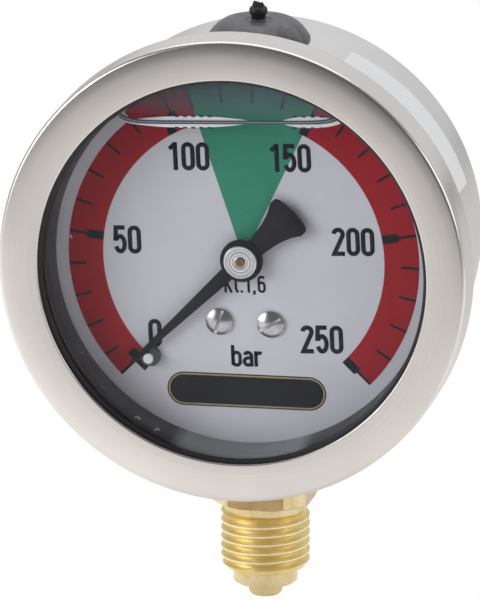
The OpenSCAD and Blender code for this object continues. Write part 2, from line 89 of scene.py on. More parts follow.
class Body(Enum):
    """The bodies of the construction that pieces ride on."""

    GAUGE = "gauge"
    POINTER = "pointer"
    SECTOR = "sector"
    LINK = "link"
    TUBE_TIP = "tube_tip"


class Cut(Enum):
    """What a tool mesh does to the piece that it meets."""

    AWAY = "DIFFERENCE"
    TO_SHAPE = "INTERSECT"


@dataclass(frozen=True)
class Layout:
    """Sizes read from the construction, in millimetres, and the radius of the case's wall."""

    centre: float
    front: float
    bezel_r: float
    lip: float
    back: float
    dial_front: float
    window_front: float
    window_back: float
    rim_r: float
    seal_back: float
    case_r: float = 31.0

    @classmethod
    def read(cls) -> "Layout":
        """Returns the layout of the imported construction."""
        joints = frame["record"]["behaviour"]["joints"]
        spin = next(j for j in joints if j["name"] == "pointer_spin")
        names = ("bezel", "case", "dial", "window", "profile_seal")
        low = {name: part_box(name)[0] / MM for name in names}
        high = {name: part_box(name)[1] / MM for name in names}
        return cls(
            centre=spin["pos_m"][2] / MM,
            front=-low["bezel"].y,
            bezel_r=high["bezel"].x,
            lip=-high["bezel"].y,
            back=-high["case"].y,
            dial_front=-low["dial"].y,
            window_front=-low["window"].y,
            window_back=-high["window"].y,
            rim_r=high["profile_seal"].x,
            seal_back=-high["profile_seal"].y,
        )


# ---------------------------------------------------------------- finishes


def map_range(node: bpy.types.Node, source: Point, result: Point) -> None:
    """Sets a Map Range node: the two ends of its source, and of its result."""
    for key, value in zip(("From Min", "From Max", "To Min", "To Max"), (*source, *result)):
        node.inputs[key].default_value = value


class NodeSheet:
    """A material's node tree with short ways to add what the finishes need."""

    def __init__(self, name: str) -> None:
        """Starts a material with one Principled shader.

        Args:
            name: the material's name.
        """
        self.material = bpy.data.materials.new(name)
        self.material.use_nodes = True
        self.tree = self.material.node_tree
        self.shader = self.tree.nodes["Principled BSDF"]
        self.output = self.tree.nodes["Material Output"]

    def set(self, **values: object) -> None:
        """Sets sockets of the shader; underscores stand for spaces."""
        for key, value in values.items():
            self.shader.inputs[key.replace("_", " ")].default_value = value

    def node(self, kind: str, **values: object) -> bpy.types.Node:
        """Adds a node and sets its properties.

        Args:
            kind: the node's type name.
            values: properties of the node.

        Returns:
            The new node.
        """
        made = self.tree.nodes.new(kind)
        for key, value in values.items():
            setattr(made, key, value)
        return made

    def link(self, source: bpy.types.NodeSocket, target: bpy.types.NodeSocket) -> None:
        """Links two sockets."""
        self.tree.links.new(source, target)

    def place(self, scale: Place = (1, 1, 1), centre: Place = (0, 0, 0)) -> bpy.types.NodeSocket:
        """Object coordinates, moved so that centre is at zero, then scaled.

        Args:
            scale: factor along each axis.
            centre: point in metres that becomes the pattern's centre.

        Returns:
            The vector socket.
        """
        coords = self.node("ShaderNodeTexCoord")
        move = self.node("ShaderNodeVectorMath", operation="SUBTRACT")
        move.inputs[1].default_value = centre
        grow = self.node("ShaderNodeVectorMath", operation="MULTIPLY")
        grow.inputs[1].default_value = scale
        self.link(coords.outputs["Object"], move.inputs[0])
        self.link(move.outputs[0], grow.inputs[0])
        return grow.outputs[0]

    def reach(self, centre: Place, scale: Place = (1, 0, 1)) -> bpy.types.NodeSocket:
        """Distance from a centre, in metres.

        Args:
            centre: point from which it is measured.
            scale: factor along each axis; 0 leaves that axis out.

        Returns:
            The distance socket.
        """
        length = self.node("ShaderNodeVectorMath", operation="LENGTH")
        self.link(self.place(scale, centre), length.inputs[0])
        return length.outputs["Value"]

    def rings(self, centre: Place, scale: float, depth: float) -> bpy.types.NodeSocket:
        """Coordinates that follow a turned face: radius, depth and a little of the angle.

        Args:
            centre: point in metres on the axis, which runs along Y.
            scale: factor on the radius.
            depth: factor on the depth along the axis.

        Returns:
            The vector socket.
        """
        grow = self.node("ShaderNodeMath", operation="MULTIPLY")
        grow.inputs[1].default_value = scale
        self.link(self.reach(centre), grow.inputs[0])
        along = self.place((8, depth, 8), centre)
        parts = self.node("ShaderNodeSeparateXYZ")
        self.link(along, parts.inputs[0])
        join = self.node("ShaderNodeCombineXYZ")
        self.link(grow.outputs[0], join.inputs["X"])
        self.link(parts.outputs["Y"], join.inputs["Y"])
        self.link(parts.outputs["X"], join.inputs["Z"])
        return join.outputs[0]

    def noise(self, vector: bpy.types.NodeSocket, scale: float, detail: float = 4.0,
              rough: float = 0.55) -> bpy.types.NodeSocket:
        """Noise texture, about 0 to 1.

        Args:
            vector: coordinates.
            scale: scale of the noise.
            detail: octaves.
            rough: how strong the small octaves are.

        Returns:
            The factor socket.
        """
        made = self.node("ShaderNodeTexNoise")
        made.inputs["Scale"].default_value = scale
        made.inputs["Detail"].default_value = detail
        made.inputs["Roughness"].default_value = rough
        self.link(vector, made.inputs["Vector"])
        return made.outputs["Fac"]

    def span(self, factor: bpy.types.NodeSocket, low: float, high: float,
             start: float = 0.3, end: float = 0.7) -> bpy.types.NodeSocket:
        """Maps a factor from start..end to low..high.

        Args:
            factor: the socket to map.
            low: result at start.
            high: result at end.
            start: factor where the result is low.
            end: factor where the result is high.

        Returns:
            The mapped socket.
        """
        made = self.node("ShaderNodeMapRange")
        map_range(made, (start, end), (low, high))
        self.link(factor, made.inputs["Value"])
        return made.outputs[0]

    def blend(self, factor: bpy.types.NodeSocket, first: Colour,
              second: Colour | bpy.types.NodeSocket) -> bpy.types.NodeSocket:
        """Mixes two colours by a factor.

        Args:
            factor: 0 for the first colour, 1 for the second.
            first: colour at 0.
            second: colour at 1, or the socket that gives it.

        Returns:
            The colour socket.
        """
        made = self.node("ShaderNodeMix", data_type="RGBA")
        made.inputs[6].default_value = (*first, 1.0)
        if isinstance(second, bpy.types.NodeSocket):
            self.link(second, made.inputs[7])
        else:
            made.inputs[7].default_value = (*second, 1.0)
        self.link(factor, made.inputs[0])
        return made.outputs[2]

    def bump(self, height: bpy.types.NodeSocket, strength: float, distance: float) -> None:
        """Bends the shader's normal by a height.

        Args:
            height: the height socket.
            strength: share of the full effect.
            distance: height in metres of a full step.
        """
        made = self.node("ShaderNodeBump")
        made.inputs["Strength"].default_value = strength
        made.inputs["Distance"].default_value = distance
        self.link(height, made.inputs["Height"])
        self.link(made.outputs[0], self.shader.inputs["Normal"])

    def colour(self, socket: bpy.types.NodeSocket) -> None:
        """Feeds the shader's base colour."""
        self.link(socket, self.shader.inputs["Base Color"])

    def roughness(self, socket: bpy.types.NodeSocket) -> None:
        """Feeds the shader's roughness."""
        self.link(socket, self.shader.inputs["Roughness"])


def shade(colour: Colour, factor: float) -> Colour:
    """A colour made lighter or darker by a factor."""
    return tuple(min(1.0, c * factor) for c in colour)


@dataclass(frozen=True)
class SatinSteel:
    """Stainless steel with a fine turned or blasted satin surface.

    Its tone drifts in soft clouds, or with a streak from one turned line to the next.
    """

    name: str
    tint: Colour = (0.75, 0.715, 0.69)
    rough: float = 0.25
    grain: float = 3200.0
    bump: float = 0.05
    centre: Place = (0.0, 0.0, 0.0)
    streak: float = 0.0
    drift: Point = (0.95, 1.04)

    def build(self) -> bpy.types.Material:
        """Returns the material."""
        sheet = NodeSheet(self.name)
        sheet.set(Metallic=1.0)
        lines = sheet.noise(sheet.rings(self.centre, self.grain, 300.0), 1.0, 3.0)
        cloud = sheet.noise(sheet.place(centre=self.centre), 60.0, 5.0)
        pits = sheet.noise(sheet.place(centre=self.centre), 2600.0, 2.0)
        source, (low, high) = cloud, self.drift
        if self.streak:
            source, low, high = lines, 1.0 - self.streak, 1.0 + self.streak
        tone = sheet.span(source, 0.0, 1.0)
        sheet.colour(sheet.blend(tone, shade(self.tint, low), shade(self.tint, high)))
        sheet.roughness(sheet.span(lines, self.rough - 0.02, self.rough + 0.03))
        height = sheet.node("ShaderNodeMath", operation="ADD")
        sheet.link(lines, height.inputs[0])
        sheet.link(pits, height.inputs[1])
        sheet.bump(height.outputs[0], self.bump, 0.00003)
        return sheet.material


@dataclass(frozen=True)
class TurnedMetal:
    """Bright turned metal, such as brass or nickelled screws."""

    name: str
    tint: Colour
    rough: float = 0.24
    dull: Colour | None = None
    lines: float = 5000.0
    bump: float = 0.2

    def build(self) -> bpy.types.Material:
        """Returns the material."""
        sheet = NodeSheet(self.name)
        sheet.set(Metallic=1.0)
        tool = sheet.noise(sheet.place((120, 120, self.lines)), 1.0, 2.0)
        film = sheet.noise(sheet.place(), 420.0, 6.0, 0.6)
        dull = self.dull or shade(self.tint, 0.8)
        sheet.colour(sheet.blend(sheet.span(film, 0.0, 1.0, 0.35, 0.75), self.tint, dull))
        sheet.roughness(sheet.span(film, self.rough - 0.04, self.rough + 0.12))
        sheet.bump(tool, self.bump, 0.00002)
        return sheet.material


@dataclass(frozen=True)
class BlackRubber:
    """Moulded black rubber with a faint bloom, and a paler round patch that is a painted reflection."""

    name: str
    tint: Colour = (0.016, 0.016, 0.018)
    bloom: Colour = (0.05, 0.05, 0.055)
    rough: float = 0.42
    bump: float = 0.35
    sheen: float = 0.5
    painted_reflection: Colour | None = None
    painted_reflection_centre: Place = (0.0006, 0.0, 0.0225)
    painted_reflection_reach: Point = (0.0085, 0.0106)

    def build(self) -> bpy.types.Material:
        """Returns the material."""
        sheet = NodeSheet(self.name)
        sheet.set(Specular_IOR_Level=self.sheen)
        cloud = sheet.noise(sheet.place(), 350.0, 6.0, 0.65)
        grain = sheet.noise(sheet.place(), 5200.0, 2.0)
        tone = sheet.blend(sheet.span(cloud, 0.0, 1.0, 0.45, 0.8), self.tint, self.bloom)
        # A paler round patch blended in round a centre: painted reflection.
        if self.painted_reflection:
            away = sheet.span(sheet.reach(self.painted_reflection_centre), 0.0, 1.0, *self.painted_reflection_reach)
            tone = sheet.blend(away, self.painted_reflection, tone)
        sheet.colour(tone)
        sheet.roughness(sheet.span(cloud, self.rough - 0.06, self.rough + 0.15))
        sheet.bump(grain, self.bump, 0.00003)
        return sheet.material


@dataclass(frozen=True)
class Coating:
    """Paint, ink or film: a colour with a slight mottle and a fine surface."""

    name: str
    tint: Colour
    rough: float = 0.5
    mottle: float = 0.06
    grain: float = 4500.0
    bump: float = 0.03
    coat: float = 0.0
    sheen: float = 0.12

    def build(self) -> bpy.types.Material:
        """Returns the material."""
        sheet = NodeSheet(self.name)
        sheet.set(Coat_Weight=self.coat, Coat_Roughness=0.08, Specular_IOR_Level=self.sheen)
        cloud = sheet.noise(sheet.place(), 240.0, 4.0)
        grain = sheet.noise(sheet.place(), self.grain, 2.0)
        light = shade(self.tint, 1.0 + self.mottle)
        dark = shade(self.tint, 1.0 - self.mottle)
        sheet.colour(sheet.blend(sheet.span(cloud, 0.0, 1.0), dark, light))
        sheet.roughness(sheet.span(grain, self.rough - 0.04, self.rough + 0.05))
        sheet.bump(grain, self.bump, 0.00001)
        return sheet.material


@dataclass(frozen=True)
class ClearPlastic:
    """Clear window plastic with a faint haze; lamps shine through it without a shadow."""

    name: str
    tint: Colour = (0.97, 0.985, 1.0)
    index: float = 1.22
    rough: float = 0.0
    smear: float = 0.02

    def build(self) -> bpy.types.Material:
        """Returns the material."""
        sheet = NodeSheet(self.name)
        sheet.set(Transmission_Weight=1.0, IOR=self.index, Base_Color=(*self.tint, 1.0))
        haze = sheet.noise(sheet.place(), 90.0, 5.0)
        sheet.roughness(sheet.span(haze, self.rough, self.rough + self.smear, 0.5, 0.9))
        path = sheet.node("ShaderNodeLightPath")
        clear = sheet.node("ShaderNodeBsdfTransparent")
        clear.inputs[0].default_value = (*self.tint, 1.0)
        mix = sheet.node("ShaderNodeMixShader")
        sheet.link(path.outputs["Is Shadow Ray"], mix.inputs[0])
        sheet.link(sheet.shader.outputs[0], mix.inputs[1])
        sheet.link(clear.outputs[0], mix.inputs[2])
        sheet.link(mix.outputs[0], sheet.output.inputs["Surface"])
        return sheet.material


@dataclass(frozen=True)
class PaintedAirShade:
    """Painted shade: a thin dark bluish veil that grows towards the top, for the shade and dark
    reflection in the air above the liquid.
    """

    name: str
    low: float
    high: float
    tint: Colour = (0.14, 0.18, 0.21)
    least: float = 0.06
    most: float = 0.48

    def build(self) -> bpy.types.Material:
        """Returns the material."""
        sheet = NodeSheet(self.name)
        sheet.set(Base_Color=(*self.tint, 1.0), Specular_IOR_Level=0.1)
        parts = sheet.node("ShaderNodeSeparateXYZ")
        sheet.link(sheet.place(), parts.inputs[0])
        veil = sheet.span(parts.outputs["Z"], self.least, self.most, self.low, self.high)
        sheet.link(veil, sheet.shader.inputs["Alpha"])
        cloud = sheet.noise(sheet.place(), 160.0, 3.0)
        sheet.roughness(sheet.span(cloud, 0.35, 0.5))
        return sheet.material


class Palette:
    """Every finish of the gauge, built once."""

    veil: Point = (22.3, 26.5)

    def __init__(self, layout: Layout) -> None:
        """Builds the materials.

        Args:
            layout: sizes, for the centre of the turned patterns.
        """
        axis = (0.0, 0.0, layout.centre * MM)
        self.bezel = SatinSteel("satin_bezel_steel", centre=axis).build()
        self.case = SatinSteel(
            "satin_case_steel", (0.76, 0.75, 0.735), 0.3, 2200.0, 0.15, axis).build()
        self.brass = TurnedMetal(
            "connection_brass", (0.80, 0.69, 0.42), 0.15, (0.66, 0.51, 0.24), 3500.0, 0.3).build()
        # Painted shade: the block's flats get this darker brown brass, for the shade and dark floor
        # they reflect.
        self.shaded_flat_brass = TurnedMetal(
            "flat_brass_painted_shade", (0.48, 0.33, 0.165), 0.16, (0.40, 0.26, 0.12), 2600.0, 0.35).build()
        self.thread_brass = TurnedMetal(
            "cut_thread_brass", (0.93, 0.76, 0.36), 0.38, (0.84, 0.62, 0.22), 3500.0, 0.2).build()
        # Painted highlight: the thread's crests get this pale cream brass.
        self.crest_highlight_brass = TurnedMetal(
            "crest_painted_highlight", (0.98, 0.86, 0.58), 0.3, (0.92, 0.78, 0.48), 3500.0, 0.1).build()
        self.movement = TurnedMetal("movement_brass", (0.78, 0.58, 0.3), 0.26).build()
        self.bronze = TurnedMetal("spring_bronze", (0.68, 0.42, 0.25), 0.3).build()
        self.steel = TurnedMetal("bright_steel", (0.72, 0.72, 0.71), 0.22).build()
        self.hub = SatinSteel(
            "turned_hub_steel", (0.60, 0.60, 0.61), 0.22, 4200.0, 0.6, axis, 0.5).build()
        self.screw = TurnedMetal(
            "slotted_screw_steel", (0.61, 0.585, 0.595), 0.2, (0.44, 0.42, 0.43)).build()
        # Painted highlight: the near-white floor of the screw slots.
        self.slot_highlight = Coating(
            "slot_painted_highlight", (0.95, 0.95, 0.95), 0.35, 0.08, sheen=0.5).build()
        self.bush = Coating("grey_bush", (0.10, 0.10, 0.11), 0.35, 0.15, sheen=0.5).build()
        self.pin = Coating("white_pin_end", (0.85, 0.85, 0.85), 0.3, 0.05, sheen=0.5).build()
        self.copper = TurnedMetal("coppery_pin", (0.28, 0.13, 0.085), 0.3).build()
        self.rubber = BlackRubber(
            "black_rubber", (0.10, 0.10, 0.108), (0.27, 0.268, 0.282), 0.42).build()
        # The seal's paler grey patch low on its wall is a painted reflection.
        self.seal = BlackRubber(
            "wet_black_seal", (0.052, 0.050, 0.054), (0.062, 0.061, 0.066), 0.4, 0.06, 0.22,
            (0.29, 0.29, 0.30)).build()
        self.gasket = BlackRubber(
            "black_gasket_rubber", (0.022, 0.022, 0.024), (0.034, 0.034, 0.037),
            0.35, 0.06, 0.4).build()
        self.dial = Coating("white_dial_paint", (0.735, 0.715, 0.77), 0.55, 0.02).build()
        self.red = Coating("red_scale_ink", (0.40, 0.011, 0.023), 0.5, 0.05).build()
        self.green = Coating("green_scale_ink", (0.047, 0.30, 0.185), 0.5, 0.04).build()
        self.ink = Coating("dark_scale_ink", (0.014, 0.015, 0.024), 0.65, 0.1, bump=0.01).build()
        self.ochre = Coating("ochre_line_ink", (0.50, 0.39, 0.17), 0.5, 0.08).build()
        self.pointer = Coating("matt_black_paint", (0.017, 0.017, 0.024), 0.42, 0.1).build()
        self.label = Coating("white_label_film", (0.96, 0.965, 0.98), 0.4, 0.02, sheen=0.7).build()
        self.window = ClearPlastic("clear_window").build()
        # Painted shade: the bluish veil over the air above the liquid.
        veil_low, veil_high = (layout.centre + height for height in self.veil)
        self.air = PaintedAirShade("air_veil_painted_shade", veil_low * MM, veil_high * MM).build()
        # Painted light: the paler core of the liquid's level line.
        self.edge_grey = Coating(
            "liquid_line_core_painted_light", (0.25, 0.26, 0.29), 0.2, 0.1, sheen=0.4).build()
        # Painted highlight: the pale crescent rims of the bubbles.
        self.bubble = Coating(
            "bubble_rim_painted_highlight", (0.50, 0.51, 0.54), 0.3, 0.2, sheen=0.4).build()
        # Painted reflection: the pale lens-shaped edges of the liquid.
        self.edge_light = Coating(
            "liquid_edge_painted_reflection", (0.95, 0.95, 0.97), 0.25, 0.03, coat=0.3).build()
        # Painted shade: the dark level line of the liquid and the dashes along its edges.
        self.edge_dark = Coating(
            "liquid_edge_painted_shade", (0.05, 0.055, 0.07), 0.15, 0.05, coat=0.8).build()


# ---------------------------------------------------------------- mesh tools


def forwards(layout: Layout) -> Matrix:
    """Places x, height and forward depth in millimetres into the frame, about the dial centre."""
    turn = Matrix(((1, 0, 0, 0), (0, 0, -1, 0), (0, 1, 0, layout.centre), (0, 0, 0, 1)))
    return Matrix.Scale(MM, 4) @ turn


def upwards(ahead: float = 0.0) -> Matrix:
    """Places millimetres about an upright axis that stands ahead of the connection axis."""
    return Matrix.Scale(MM, 4) @ Matrix.Translation((0, -ahead, 0))


def arc(cx: float, cy: float, r: float, start: float, end: float, steps: int = 8) -> list[Point]:
    """Points on an arc.

    Args:
        cx: centre, first coordinate.
        cy: centre, second coordinate.
        r: radius.
        start: angle of the first point in degrees.
        end: angle of the last point in degrees.
        steps: number of stretches.

    Returns:
        The points from start to end.
    """
    turns = [math.radians(start + (end - start) * k / steps) for k in range(steps + 1)]
    return [(cx + r * math.cos(t), cy + r * math.sin(t)) for t in turns]


def polar(r: float, degrees: float) -> Point:
    """The point at a radius and an angle."""
    return (r * math.cos(math.radians(degrees)), r * math.sin(math.radians(degrees)))


def chain(bm: bmesh.types.BMesh, points: Sequence[Sequence[float]], closed: bool) -> list:
    """Adds a chain of edges.

    Args:
        bm: the mesh.
        points: corners, three numbers each.
        closed: whether the last joins the first.

    Returns:
        The new vertices and edges.
    """
    verts = [bm.verts.new(p) for p in points]
    pairs = list(zip(verts, verts[1:]))
    if closed:
        pairs.append((verts[-1], verts[0]))
    return verts + [bm.edges.new(pair) for pair in pairs]


def revolve(profile: Sequence[Point], closed: bool = False,
            steps: int = RING_STEPS) -> bmesh.types.BMesh:
    """Turns a profile of radius and height about the third axis into a closed skin.

    Args:
        profile: corners as (radius, height).
        closed: True for a ring; otherwise both ends lie on the axis.
        steps: stretches round the turn.

    Returns:
        The new mesh.
    """
    bm = bmesh.new()
    geom = chain(bm, [(r, 0, h) for r, h in profile], closed)
    bmesh.ops.spin(bm, geom=geom, cent=(0, 0, 0), axis=(0, 0, 1), dvec=(0, 0, 0),
                   angle=TURN, steps=steps, use_merge=True, use_duplicate=False)
    bmesh.ops.remove_doubles(bm, verts=bm.verts, dist=MERGE)
    return bm


def band(bm: bmesh.types.BMesh, r_in: float, r_out: float, start: float, end: float,
         low: float, high: float) -> None:
    """Adds a flat part of a ring, between two angles.

    Args:
        bm: the mesh.
        r_in: inner radius.
        r_out: outer radius.
        start: first angle in degrees.
        end: last angle in degrees.
        low: back of the layer.
        high: front of the layer.
    """
    corners = [(r_in, low), (r_out, low), (r_out, high), (r_in, high)]
    first = math.radians(start)
    spot = [(r * math.cos(first), r * math.sin(first), h) for r, h in corners]
    geom = chain(bm, spot, True)
    steps = max(4, round(abs(end - start) / 2))
    made = bmesh.ops.spin(bm, geom=geom, cent=(0, 0, 0), axis=(0, 0, 1), dvec=(0, 0, 0),
                          angle=math.radians(end - start), steps=steps, use_merge=False)
    last = [e for e in made["geom_last"] if isinstance(e, bmesh.types.BMEdge)]
    ends = [e for e in geom if isinstance(e, bmesh.types.BMEdge)]
    bmesh.ops.edgeloop_fill(bm, edges=ends)
    bmesh.ops.edgeloop_fill(bm, edges=last)


def slab(outline: Sequence[Point], low: float, high: float) -> bmesh.types.BMesh:
    """Extrudes an outline into a flat plate.

    Args:
        outline: corners in order.
        low: back of the slab.
        high: front of the slab.

    Returns:
        The new mesh.
    """
    bm = bmesh.new()
    geom = chain(bm, [(x, y, low) for x, y in outline], True)
    edges = [g for g in geom if isinstance(g, bmesh.types.BMEdge)]
    face = bmesh.ops.edgeloop_fill(bm, edges=edges)["faces"]
    risen = bmesh.ops.extrude_face_region(bm, geom=face, use_keep_orig=True)
    top = [v for v in risen["geom"] if isinstance(v, bmesh.types.BMVert)]
    bmesh.ops.translate(bm, verts=top, vec=(0, 0, high - low))
    return bm


def bevel(bm: bmesh.types.BMesh, edges: Iterable, width: float, segments: int = 2) -> None:
    """Rounds edges.

    Args:
        bm: the mesh.
        edges: the edges to round.
        width: width of the rounding.
        segments: faces across it.
    """
    bmesh.ops.bevel(bm, geom=list(edges), offset=width, offset_type="OFFSET", affect="EDGES",
                    segments=segments, profile=0.5, material=-1, clamp_overlap=True)


def sharp_edges(bm: bmesh.types.BMesh, angle: float = SHARP_EDGE) -> list:
    """The edges whose faces meet at more than an angle."""
    return [e for e in bm.edges if len(e.link_faces) == 2 and e.calc_face_angle(0.0) > angle]


def into_scene(name: str, bm: bmesh.types.BMesh) -> bpy.types.Object:
    """Makes an object of a mesh, which is freed.

    Args:
        name: name of the object and its mesh.
        bm: the mesh.

    Returns:
        The object.
    """
    mesh = bpy.data.meshes.new(name)
    bm.to_mesh(mesh)
    bm.free()
    made = bpy.data.objects.new(name, mesh)
    bpy.context.scene.collection.objects.link(made)
    return made


def smoothed(mesh: bpy.types.Mesh) -> None:
    """Shades a mesh smooth up to its sharp edges."""
    mesh.shade_smooth()
    mesh.set_sharp_from_angle(angle=SHARP_EDGE)


@dataclass(frozen=True)
class Bend:
    """A body and two places along X in millimetres for a piece across a joint; nothing reads them."""

    body: Body
    start: float
    end: float


class Bench:
    """Turns finished meshes into pieces that ride on a body."""

    def __init__(self, layout: Layout) -> None:
        """Keeps the layout.

        Args:
            layout: sizes of the construction.
        """
        self.layout = layout

    def piece(self, name: str, bm: bmesh.types.BMesh, place: Matrix, material: bpy.types.Material,
              body: Body = Body.GAUGE, slot: str | None = None,
              replaces: Sequence[str] = (), bend: Bend | None = None) -> bpy.types.Object:
        """Makes the object, shades it smooth up to its sharp edges and logs it.

        Args:
            name: the piece's name.
            bm: the mesh in millimetres; it is freed.
            place: matrix into the frame.
            material: finish of the piece.
            body: body that the piece rides on.
            slot: the record's material slot; not used.
            replaces: construction nodes that the piece stands for.
            bend: if given, the piece keeps its place in the frame and rides on no body.

        Returns:
            The object.
        """
        bmesh.ops.remove_doubles(bm, verts=bm.verts, dist=MERGE)
        bmesh.ops.recalc_face_normals(bm, faces=bm.faces)
        bmesh.ops.transform(bm, matrix=place, verts=bm.verts)
        made = into_scene(name, bm)
        made.data.materials.append(material)
        smoothed(made.data)
        if bend:
            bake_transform(made)
        else:
            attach(made, body.value)
        if replaces:
            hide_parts(*replaces)
        LOG.info("%s: %d faces, rides on %s", name, len(made.data.polygons), body.value)
        return made

    def dial_piece(self, name: str, bm: bmesh.types.BMesh, material: bpy.types.Material,
                   body: Body = Body.GAUGE, slot: str | None = None,
                   replaces: Sequence[str] = ()) -> bpy.types.Object:
        """A piece modelled about the dial centre, facing the reader."""
        return self.piece(name, bm, forwards(self.layout), material, body, slot, replaces)

    def cut(self, target: bpy.types.Object, bm: bmesh.types.BMesh, place: Matrix,
            operation: Cut = Cut.AWAY) -> None:
        """Cuts a piece with a tool mesh and keeps the result as its mesh.

        Args:
            target: the piece.
            bm: the tool in millimetres; it is freed.
            place: matrix into the frame.
            operation: what the tool does.
        """
        bmesh.ops.recalc_face_normals(bm, faces=bm.faces)
        bmesh.ops.transform(bm, matrix=place, verts=bm.verts)
        tool = into_scene("cutter", bm)
        step = target.modifiers.new("cut", "BOOLEAN")
        step.operation = operation.value
        step.solver = "EXACT"
        step.object = tool
        bpy.context.view_layer.update()
        shaped = target.evaluated_get(bpy.context.evaluated_depsgraph_get())
        result = bpy.data.meshes.new_from_object(shaped)
        target.modifiers.clear()
        old, spent = target.data, tool.data
        target.data = result
        result.name = old.name
        bpy.data.meshes.remove(old)
        bpy.data.objects.remove(tool)
        bpy.data.meshes.remove(spent)
        smoothed(result)


# ---------------------------------------------------------------- housing


@dataclass
class Housing:
    """The drawn case, crimped bezel, window, black seal and blank label."""

    bench: Bench
    palette: Palette
    sheet: float = 0.8
    crown_width: float = 2.2
    crown_drop: float = 0.08
    corner_r: float = 0.6
    corner_turn: float = 80.0
    mouth_r: float = 28.76
    mouth_edge: float = 0.22
    lip_r: float = 0.9
    lip_edge: float = 0.2
    lip_clear: float = 0.3
    back_edge_r: float = 3.0
    neck_hole_r: float = 5.1
    plug_hole_r: float = 4.52
    plug_ahead: float = 4.5
    seal_r: float = 27.85
    seal_front_r: float = 28.3
    window_edge: float = 0.15
    gasket_r: float = 28.15
    label_corner: float = 0.5
    label_start: float = 16.3
    label_span: float = 48.7
    label_width: float = 14.5
    label_turn: float = 5.0
    label_ahead: float = 0.5
    label_thickness: float = 0.1
    label_strips: int = 40

    def build(self) -> None:
        """Builds every piece of the housing."""
        self.case()
        self.bezel()
        self.gasket()
        self.window()
        self.seal()
        self.label()

    def case(self) -> None:
        """The cup: back, rounded edge, wall and the flange that the bezel grips."""
        size = self.bench.layout
        back, wall, edge = size.back, self.sheet, self.back_edge_r
        r_out, r_in = size.case_r, size.case_r - self.sheet
        flange = size.lip + self.sheet + SEAT_GAP
        profile = [(0, back), *arc(r_out - edge, back + edge, edge, -90, 0, 12),
                   (r_out, flange), (size.rim_r, flange), (size.rim_r, flange + wall),
                   (r_in, flange + wall), *arc(r_out - edge, back + edge, edge - wall, 0, -90, 12),
                   (0, back + wall)]
        bm = revolve(profile)
        made = self.bench.dial_piece("case_cup", bm, self.palette.case, slot="case_steel",
                                     replaces=["case"])
        for ahead, low, high, r in (
            (0.0, size.centre - r_out - 2, size.centre - r_out + 2 * edge, self.neck_hole_r),
            (self.plug_ahead, size.centre + r_in - 2, size.centre + r_out + 1, self.plug_hole_r),
        ):
            tool = revolve([(0, low), (r, low), (r, high), (0, high)], steps=48)
            self.bench.cut(made, tool, upwards(ahead))

    def bezel(self) -> None:
        """The crimped ring: flat face, rounded shoulder, side wall and rolled lip."""
        size = self.bench.layout
        r_out, front, lip, wall = size.bezel_r, size.front, size.lip, self.sheet
        wide, drop, corner = self.crown_width, self.crown_drop, self.corner_r
        mouth, edge, roll, fold = self.mouth_r, self.mouth_edge, self.lip_r, self.lip_edge
        gripped = size.case_r + self.lip_clear
        turn = math.radians(self.corner_turn)
        top = front - drop - corner * math.sin(turn)
        reach = wide - corner * (1 - math.cos(turn))
        steps = 10
        rounded = [(r_out - wide + reach * k / steps, front - drop * (k / steps) ** 2)
                   for k in range(steps)]
        rounded += arc(r_out - corner, top, corner, self.corner_turn, 0, 12)
        profile = [
            (mouth, front - wall), *arc(mouth + edge, front - edge, edge, 180, 90, 6),
            *rounded, (r_out, lip + 1.2),
            *arc(r_out - roll, lip + roll, roll, 0, -90, 8),
            (gripped + 0.15, lip), *arc(gripped + fold, lip + fold, fold, -90, -180, 4),
            (gripped, lip + wall), (r_out - wall, lip + wall), (r_out - wall, front - wall),
        ]
        bm = revolve(profile, closed=True, steps=256)
        self.bench.dial_piece("bezel_ring", bm, self.palette.bezel, slot="bezel_steel",
                              replaces=["bezel"])

    def gasket(self) -> None:
        """The thin black ring between the window and the bezel; its round lip shows inside."""
        low, high = (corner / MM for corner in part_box("window_gasket"))
        back, front = -high.y, -low.y
        lip, r = self.gasket_r, (front - back) / 2
        profile = [*arc(lip + r, back + r, r, 270, 90, 8), (high.x, front), (high.x, back)]
        bm = revolve(profile, closed=True)
        self.bench.dial_piece("gasket_ring", bm, self.palette.gasket, slot="black_rubber",
                              replaces=["window_gasket"])

    def window(self) -> None:
        """The clear disc."""
        size = self.bench.layout
        r, low, high = size.rim_r - 0.1, size.window_back, size.window_front
        edge = self.window_edge
        bm = revolve([(0, low), (r - edge, low), (r, low + edge), (r, high - edge),
                      (r - edge, high), (0, high)], steps=128)
        self.bench.dial_piece("window_disc", bm, self.palette.window, slot="window_plastic",
                              replaces=["window"])

    def seal(self) -> None:
        """The black rubber profile: a seat for the window and the wall in front of the dial."""
        size = self.bench.layout
        low, high = size.seal_back, size.window_back - SEAT_GAP
        seat = size.lip + 2 * self.sheet + 2 * SEAT_GAP
        r_in, r_out, sleeve = self.seal_r, size.rim_r, size.case_r - self.sheet - 0.15
        mouth = self.seal_front_r
        profile = [(r_in + 0.15, low), *arc(r_in + 0.15, low + 0.15, 0.15, -90, -180, 3),
                   (r_in + 0.05, low + 1.2), (mouth, high - 0.9), (mouth + 0.2, high - 0.7),
                   (mouth + 0.2, high - 0.3), *arc(mouth + 0.12, high - 0.12, 0.12, 180, 90, 3),
                   (r_out, high), (r_out, seat), (sleeve, seat), (sleeve, low)]
        bm = revolve(profile, closed=True)
        self.bench.dial_piece("window_seal", bm, self.palette.seal, slot="black_rubber",
                              replaces=["profile_seal"])

